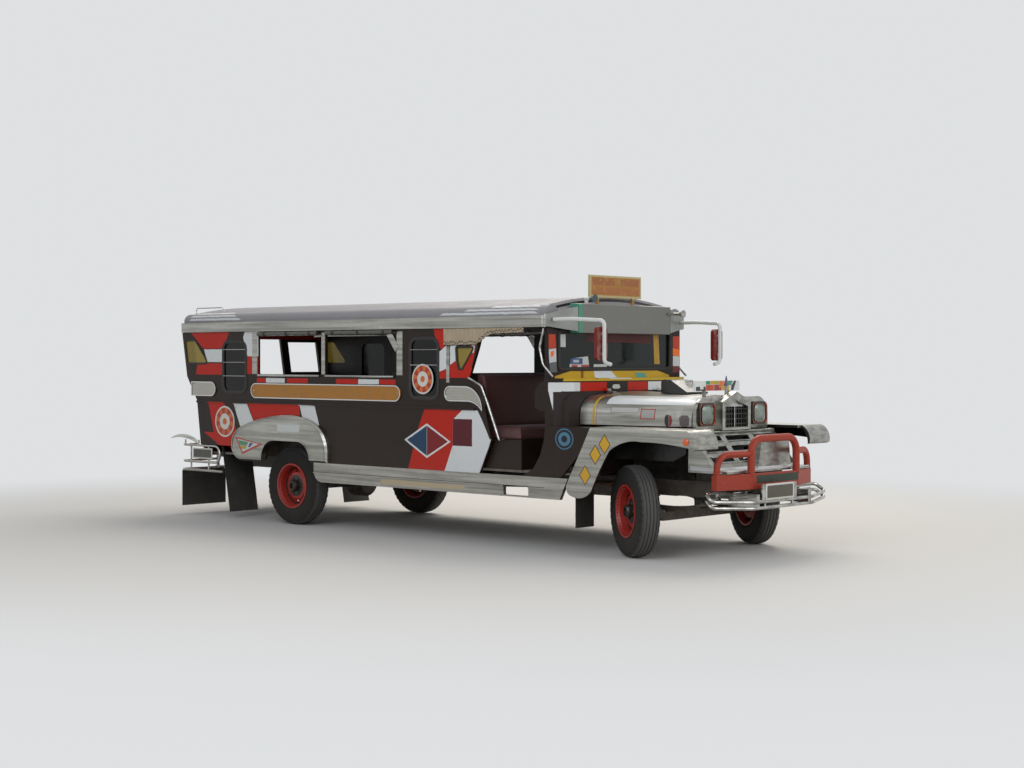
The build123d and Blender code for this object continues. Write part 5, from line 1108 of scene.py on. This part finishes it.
def stuffed(name, low, high, seams_along, crown_axis, crown_sign, cap):
    """A pad blown up by cloth simulation from a box, held at its back and along its sewn channels."""
    shrink = Vector((cap, cap, cap))
    shrink[crown_axis] = 0
    inner_low, inner_high = Vector(low) + shrink, Vector(high) - shrink
    if crown_sign > 0:
        inner_high[crown_axis] -= cap
    else:
        inner_low[crown_axis] += cap
    pad = make_mesh(name, *box_grid(inner_low, inner_high, 0.026), vinyl)
    held = pad.vertex_groups.new(name="held")
    base = inner_low[crown_axis] if crown_sign > 0 else inner_high[crown_axis]
    start = []
    for vertex in pad.data.vertices:
        on_seam = any(abs(vertex.co.x - seam) < 0.013 for seam in seams_along)
        on_face = abs(vertex.co[crown_axis] - base) > (inner_high - inner_low)[crown_axis] * 0.98
        if abs(vertex.co[crown_axis] - base) < 0.001:
            held.add([vertex.index], 1.0, "REPLACE")
        elif on_seam:
            if on_face:
                vertex.co[crown_axis] -= crown_sign * 0.012
            held.add([vertex.index], 1.0, "REPLACE")
        start.append(vertex.co.copy())
    cloth = pad.modifiers.new("stuffing", "CLOTH")
    cloth.settings.use_pressure = True
    cloth.settings.uniform_pressure_force = 4.0
    cloth.settings.tension_stiffness = 12.0
    cloth.settings.bending_stiffness = 1.5
    cloth.settings.effector_weights.gravity = 0.0
    cloth.settings.vertex_group_mass = "held"
    for frame_number in range(1, 21):
        bpy.context.scene.frame_set(frame_number)
    blown = bpy.data.meshes.new_from_object(pad.evaluated_get(bpy.context.evaluated_depsgraph_get()))
    pad.modifiers.remove(cloth)
    bpy.context.scene.frame_set(1)
    for vertex, moved, place in zip(pad.data.vertices, blown.vertices, start):
        step = moved.co - place
        vertex.co = place + step * min(1.0, cap / max(step.length, 1e-6))
    bpy.data.meshes.remove(blown)
    smoother = pad.modifiers.new("sewn_cover", "SUBSURF")
    smoother.levels = 1
    smoother.render_levels = 1
    finished = bpy.data.meshes.new_from_object(pad.evaluated_get(bpy.context.evaluated_depsgraph_get()))
    pad.modifiers.remove(smoother)
    pad.data = finished
    for polygon in finished.polygons:
        polygon.use_smooth = True
    return pad


def joined_pads(name, pads):
    """One piece from several pads."""
    work = bmesh.new()
    for pad in pads:
        work.from_mesh(pad.data)
        bpy.data.objects.remove(pad)
    mesh = bpy.data.meshes.new(name)
    work.to_mesh(mesh)
    work.free()
    return settle(name, mesh, vinyl)


skin_inner = 0.9447
pad_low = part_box("bench_cushion_right")[0]
bench_seams = [at(-1.32 + 3.44 * step / 12) for step in range(1, 12)]
for side, side_name in sides:
    seat_y = sorted((side * (skin_inner - 0.030), side * 0.565))
    seat = stuffed("bench_seat_" + side_name, (at(-1.320), seat_y[0], pad_low.z),
                   (at(2.120), seat_y[1], 1.123), bench_seams, 2, 1, 0.014)
    back_y = sorted((side * skin_inner, side * (skin_inner - 0.045)))
    back = stuffed("bench_back_" + side_name, (at(-1.270), back_y[0], 1.160), (at(2.070), back_y[1], 1.440),
                   bench_seams, 1, -side, 0.010)
    bench = joined_pads("bench_upholstery_" + side_name, [seat, back])
    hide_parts("bench_cushion_" + side_name)
low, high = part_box("front_seat_cushion")
front_pad = stuffed("front_seat_upholstery", low, high, [], 2, 1, 0.020)
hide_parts("front_seat_cushion")
# The front seat's backrest leans back with its frame, so its pad is blown up level and then sheared.
low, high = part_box("front_seat_back")
rest_foot, rest_head = at(2.539), at(2.482)
back_pad = stuffed("front_seat_backrest", (rest_foot + 0.003, low.y, low.z),
                   (rest_foot + 0.085, high.y, high.z), [], 0, 1, 0.016)
for vertex in back_pad.data.vertices:
    rise = (vertex.co.z - low.z) / (high.z - low.z)
    vertex.co.x += (rest_head - rest_foot) * rise
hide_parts("front_seat_back")


# Curtains: a short valance of tan awning cloth hangs in folds over each front doorway, hemmed with a
# dark zigzag stitch. Rain curtains of grey vinyl are rolled up under the gutter and held by straps.
def awning_cloth():
    """Tan duck, 2 mm weave drawn coarse to show, with a zigzag of dark thread above the hem."""
    feel = {"Roughness": 0.85, "Sheen Weight": 0.25}
    material, tree, shader, place = start_finish("awning_cloth_tan", feel)
    cut = add_node(tree, "UVMap", uv_map="cut")
    axes = add_node(tree, "SeparateXYZ", cut)
    swing = add_node(tree, "Math PINGPONG", axes, 0.022)
    line = add_node(tree, "Math SUBTRACT", axes.outputs[1], swing)
    thread = add_node(tree, "Math COMPARE", line, 0.016, 0.0045)
    hem = add_node(tree, "Math LESS_THAN", axes.outputs[1], 0.007)
    dark = add_node(tree, "Math MAXIMUM", thread, hem)
    stains = add_node(tree, "TexNoise", Vector=place, Scale=9.0, Detail=7.0, Roughness=0.7)
    cloth = add_node(tree, "Mix RGBA", stains, "#c4b496", "#94826a")
    shade = add_node(tree, "Mix RGBA", dark, cloth, "#2b2420")
    scaled = add_node(tree, "VectorMath SCALE", cut, 2 * pi / 0.002 / 20)
    weave = add_node(tree, "TexWave", Vector=scaled, Scale=1.0).outputs["Fac"]
    wire(shader, {"Base Color": shade, "Normal": add_node(tree, "Bump", Strength=0.3, Distance=0.0004,
                                                          Height=weave)})
    return material


def cloth_sheet(name, rows, finish):
    """A sheet from rows of points, with its cut's own measures kept as the UV map named cut."""
    vertices = [point for row in rows for point in row]
    width = len(rows[0])
    faces = [(i * width + j, i * width + j + 1, (i + 1) * width + j + 1, (i + 1) * width + j)
             for i in range(len(rows) - 1) for j in range(width - 1)]
    mesh = bpy.data.meshes.new(name)
    mesh.from_pydata([tuple(v) for v in vertices], [], faces)
    across = [0.0]
    for before, after in zip(rows[0], rows[0][1:]):
        across.append(across[-1] + (after - before).length)
    drops = []
    for column in range(width):
        drop = [0.0]
        for before, after in zip(rows, rows[1:]):
            drop.append(drop[-1] + (after[column] - before[column]).length)
        drops.append(drop)
    cut = mesh.uv_layers.new(name="cut")
    for loop in mesh.loops:
        row, column = divmod(loop.vertex_index, width)
        cut.data[loop.index].uv = (across[column], drops[column][row])
    mesh.materials.append(finish)
    for polygon in mesh.polygons:
        polygon.use_smooth = True
    piece = bpy.data.objects.new(name, mesh)
    bpy.context.scene.collection.objects.link(piece)
    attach(piece, "body")
    return piece


valance_hem = [(2.180, 1.766), (2.600, 1.769), (2.700, 1.835), (2.780, 1.862), (3.160, 1.872)]
valance_top = 1.9195
valance_start, valance_width, valance_steps = 2.183, 0.974, 240
folds = 19


def hem_height(station):
    """Height of the valance's lower edge at a station."""
    for (start, low), (end, high) in zip(valance_hem, valance_hem[1:]):
        if station <= end:
            return low + (high - low) * (station - start) / (end - start)
    return valance_hem[-1][1]


awning = awning_cloth()
rolled_vinyl = weathered("rolled_vinyl_grey", "#4c4e4c", "#34322f", 0.5, blotch_mm=70, wear=0.5,
                         bump_mm=0.5, grain_mm=3, dust=0.4, dust_top=2.4)
webbing = weathered("strap_webbing_black", "#1d1c1b", "#3a3733", 0.8, blotch_mm=30, wear=0.3, bump_mm=0.5,
                    grain_mm=2, dust=0.3, dust_top=2.4)
roll_spans = [("rear", -0.440, 0.470), ("front", 0.590, 1.530)]
roll_z = 1.896
roll_core = 0.007
roll_pitch = 0.0034
roll_turns = 4.0
turn_steps = 28
random.seed(4)
for side, side_name in sides:
    rows = []
    for row in range(11):
        share = row / 10
        line = []
        for column in range(valance_steps + 1):
            station = valance_start + valance_width * column / valance_steps
            phase = 2 * pi * folds * column / valance_steps + 0.9 * sin(7.1 * station) + side
            depth = 0.0030 + 0.0050 * (1 - share)
            low = hem_height(station) + 0.0025 * sin(0.5 * phase + 1.0)
            line.append(Vector((at(station), side * (body_half + 0.0125 + depth * sin(phase)),
                                low + (valance_top - low) * share)))
        rows.append(line)
    valance = cloth_sheet("valance_" + side_name, rows, awning)
    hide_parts("curtains")
    for span_name, back, front in roll_spans:
        hub_y = side * (body_half + 0.0243)
        bumps = [random.uniform(-0.0008, 0.0008) for _ in range(25)]
        rows = []
        for turn_step in range(int(roll_turns * turn_steps) + 1):
            angle = 2 * pi * turn_step / turn_steps
            reach = roll_core + roll_pitch * angle / (2 * pi)
            line = []
            for column in range(49):
                station = back + (front - back) * column / 48
                swell = bumps[column // 2] + 0.0009 * sin(0.9 * column + 0.5 * angle)
                spot = reach + swell
                line.append(Vector((at(station), hub_y + spot * cos(angle + side),
                                    roll_z + spot * sin(angle + side))))
            rows.append(line)
        roll = cloth_sheet(f"rolled_curtain_{span_name}_{side_name}", rows, rolled_vinyl)
        for number, share in enumerate((0.12, 0.5, 0.88)):
            hub = Vector((at(back + (front - back) * share), hub_y, roll_z))
            band = oblong(-0.014, 0.014, 0.0218, 0.0234)
            revolved(f"curtain_strap_{span_name}_{side_name}_{number}", hub, forward, band,
                                   40, webbing)
        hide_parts("curtains")
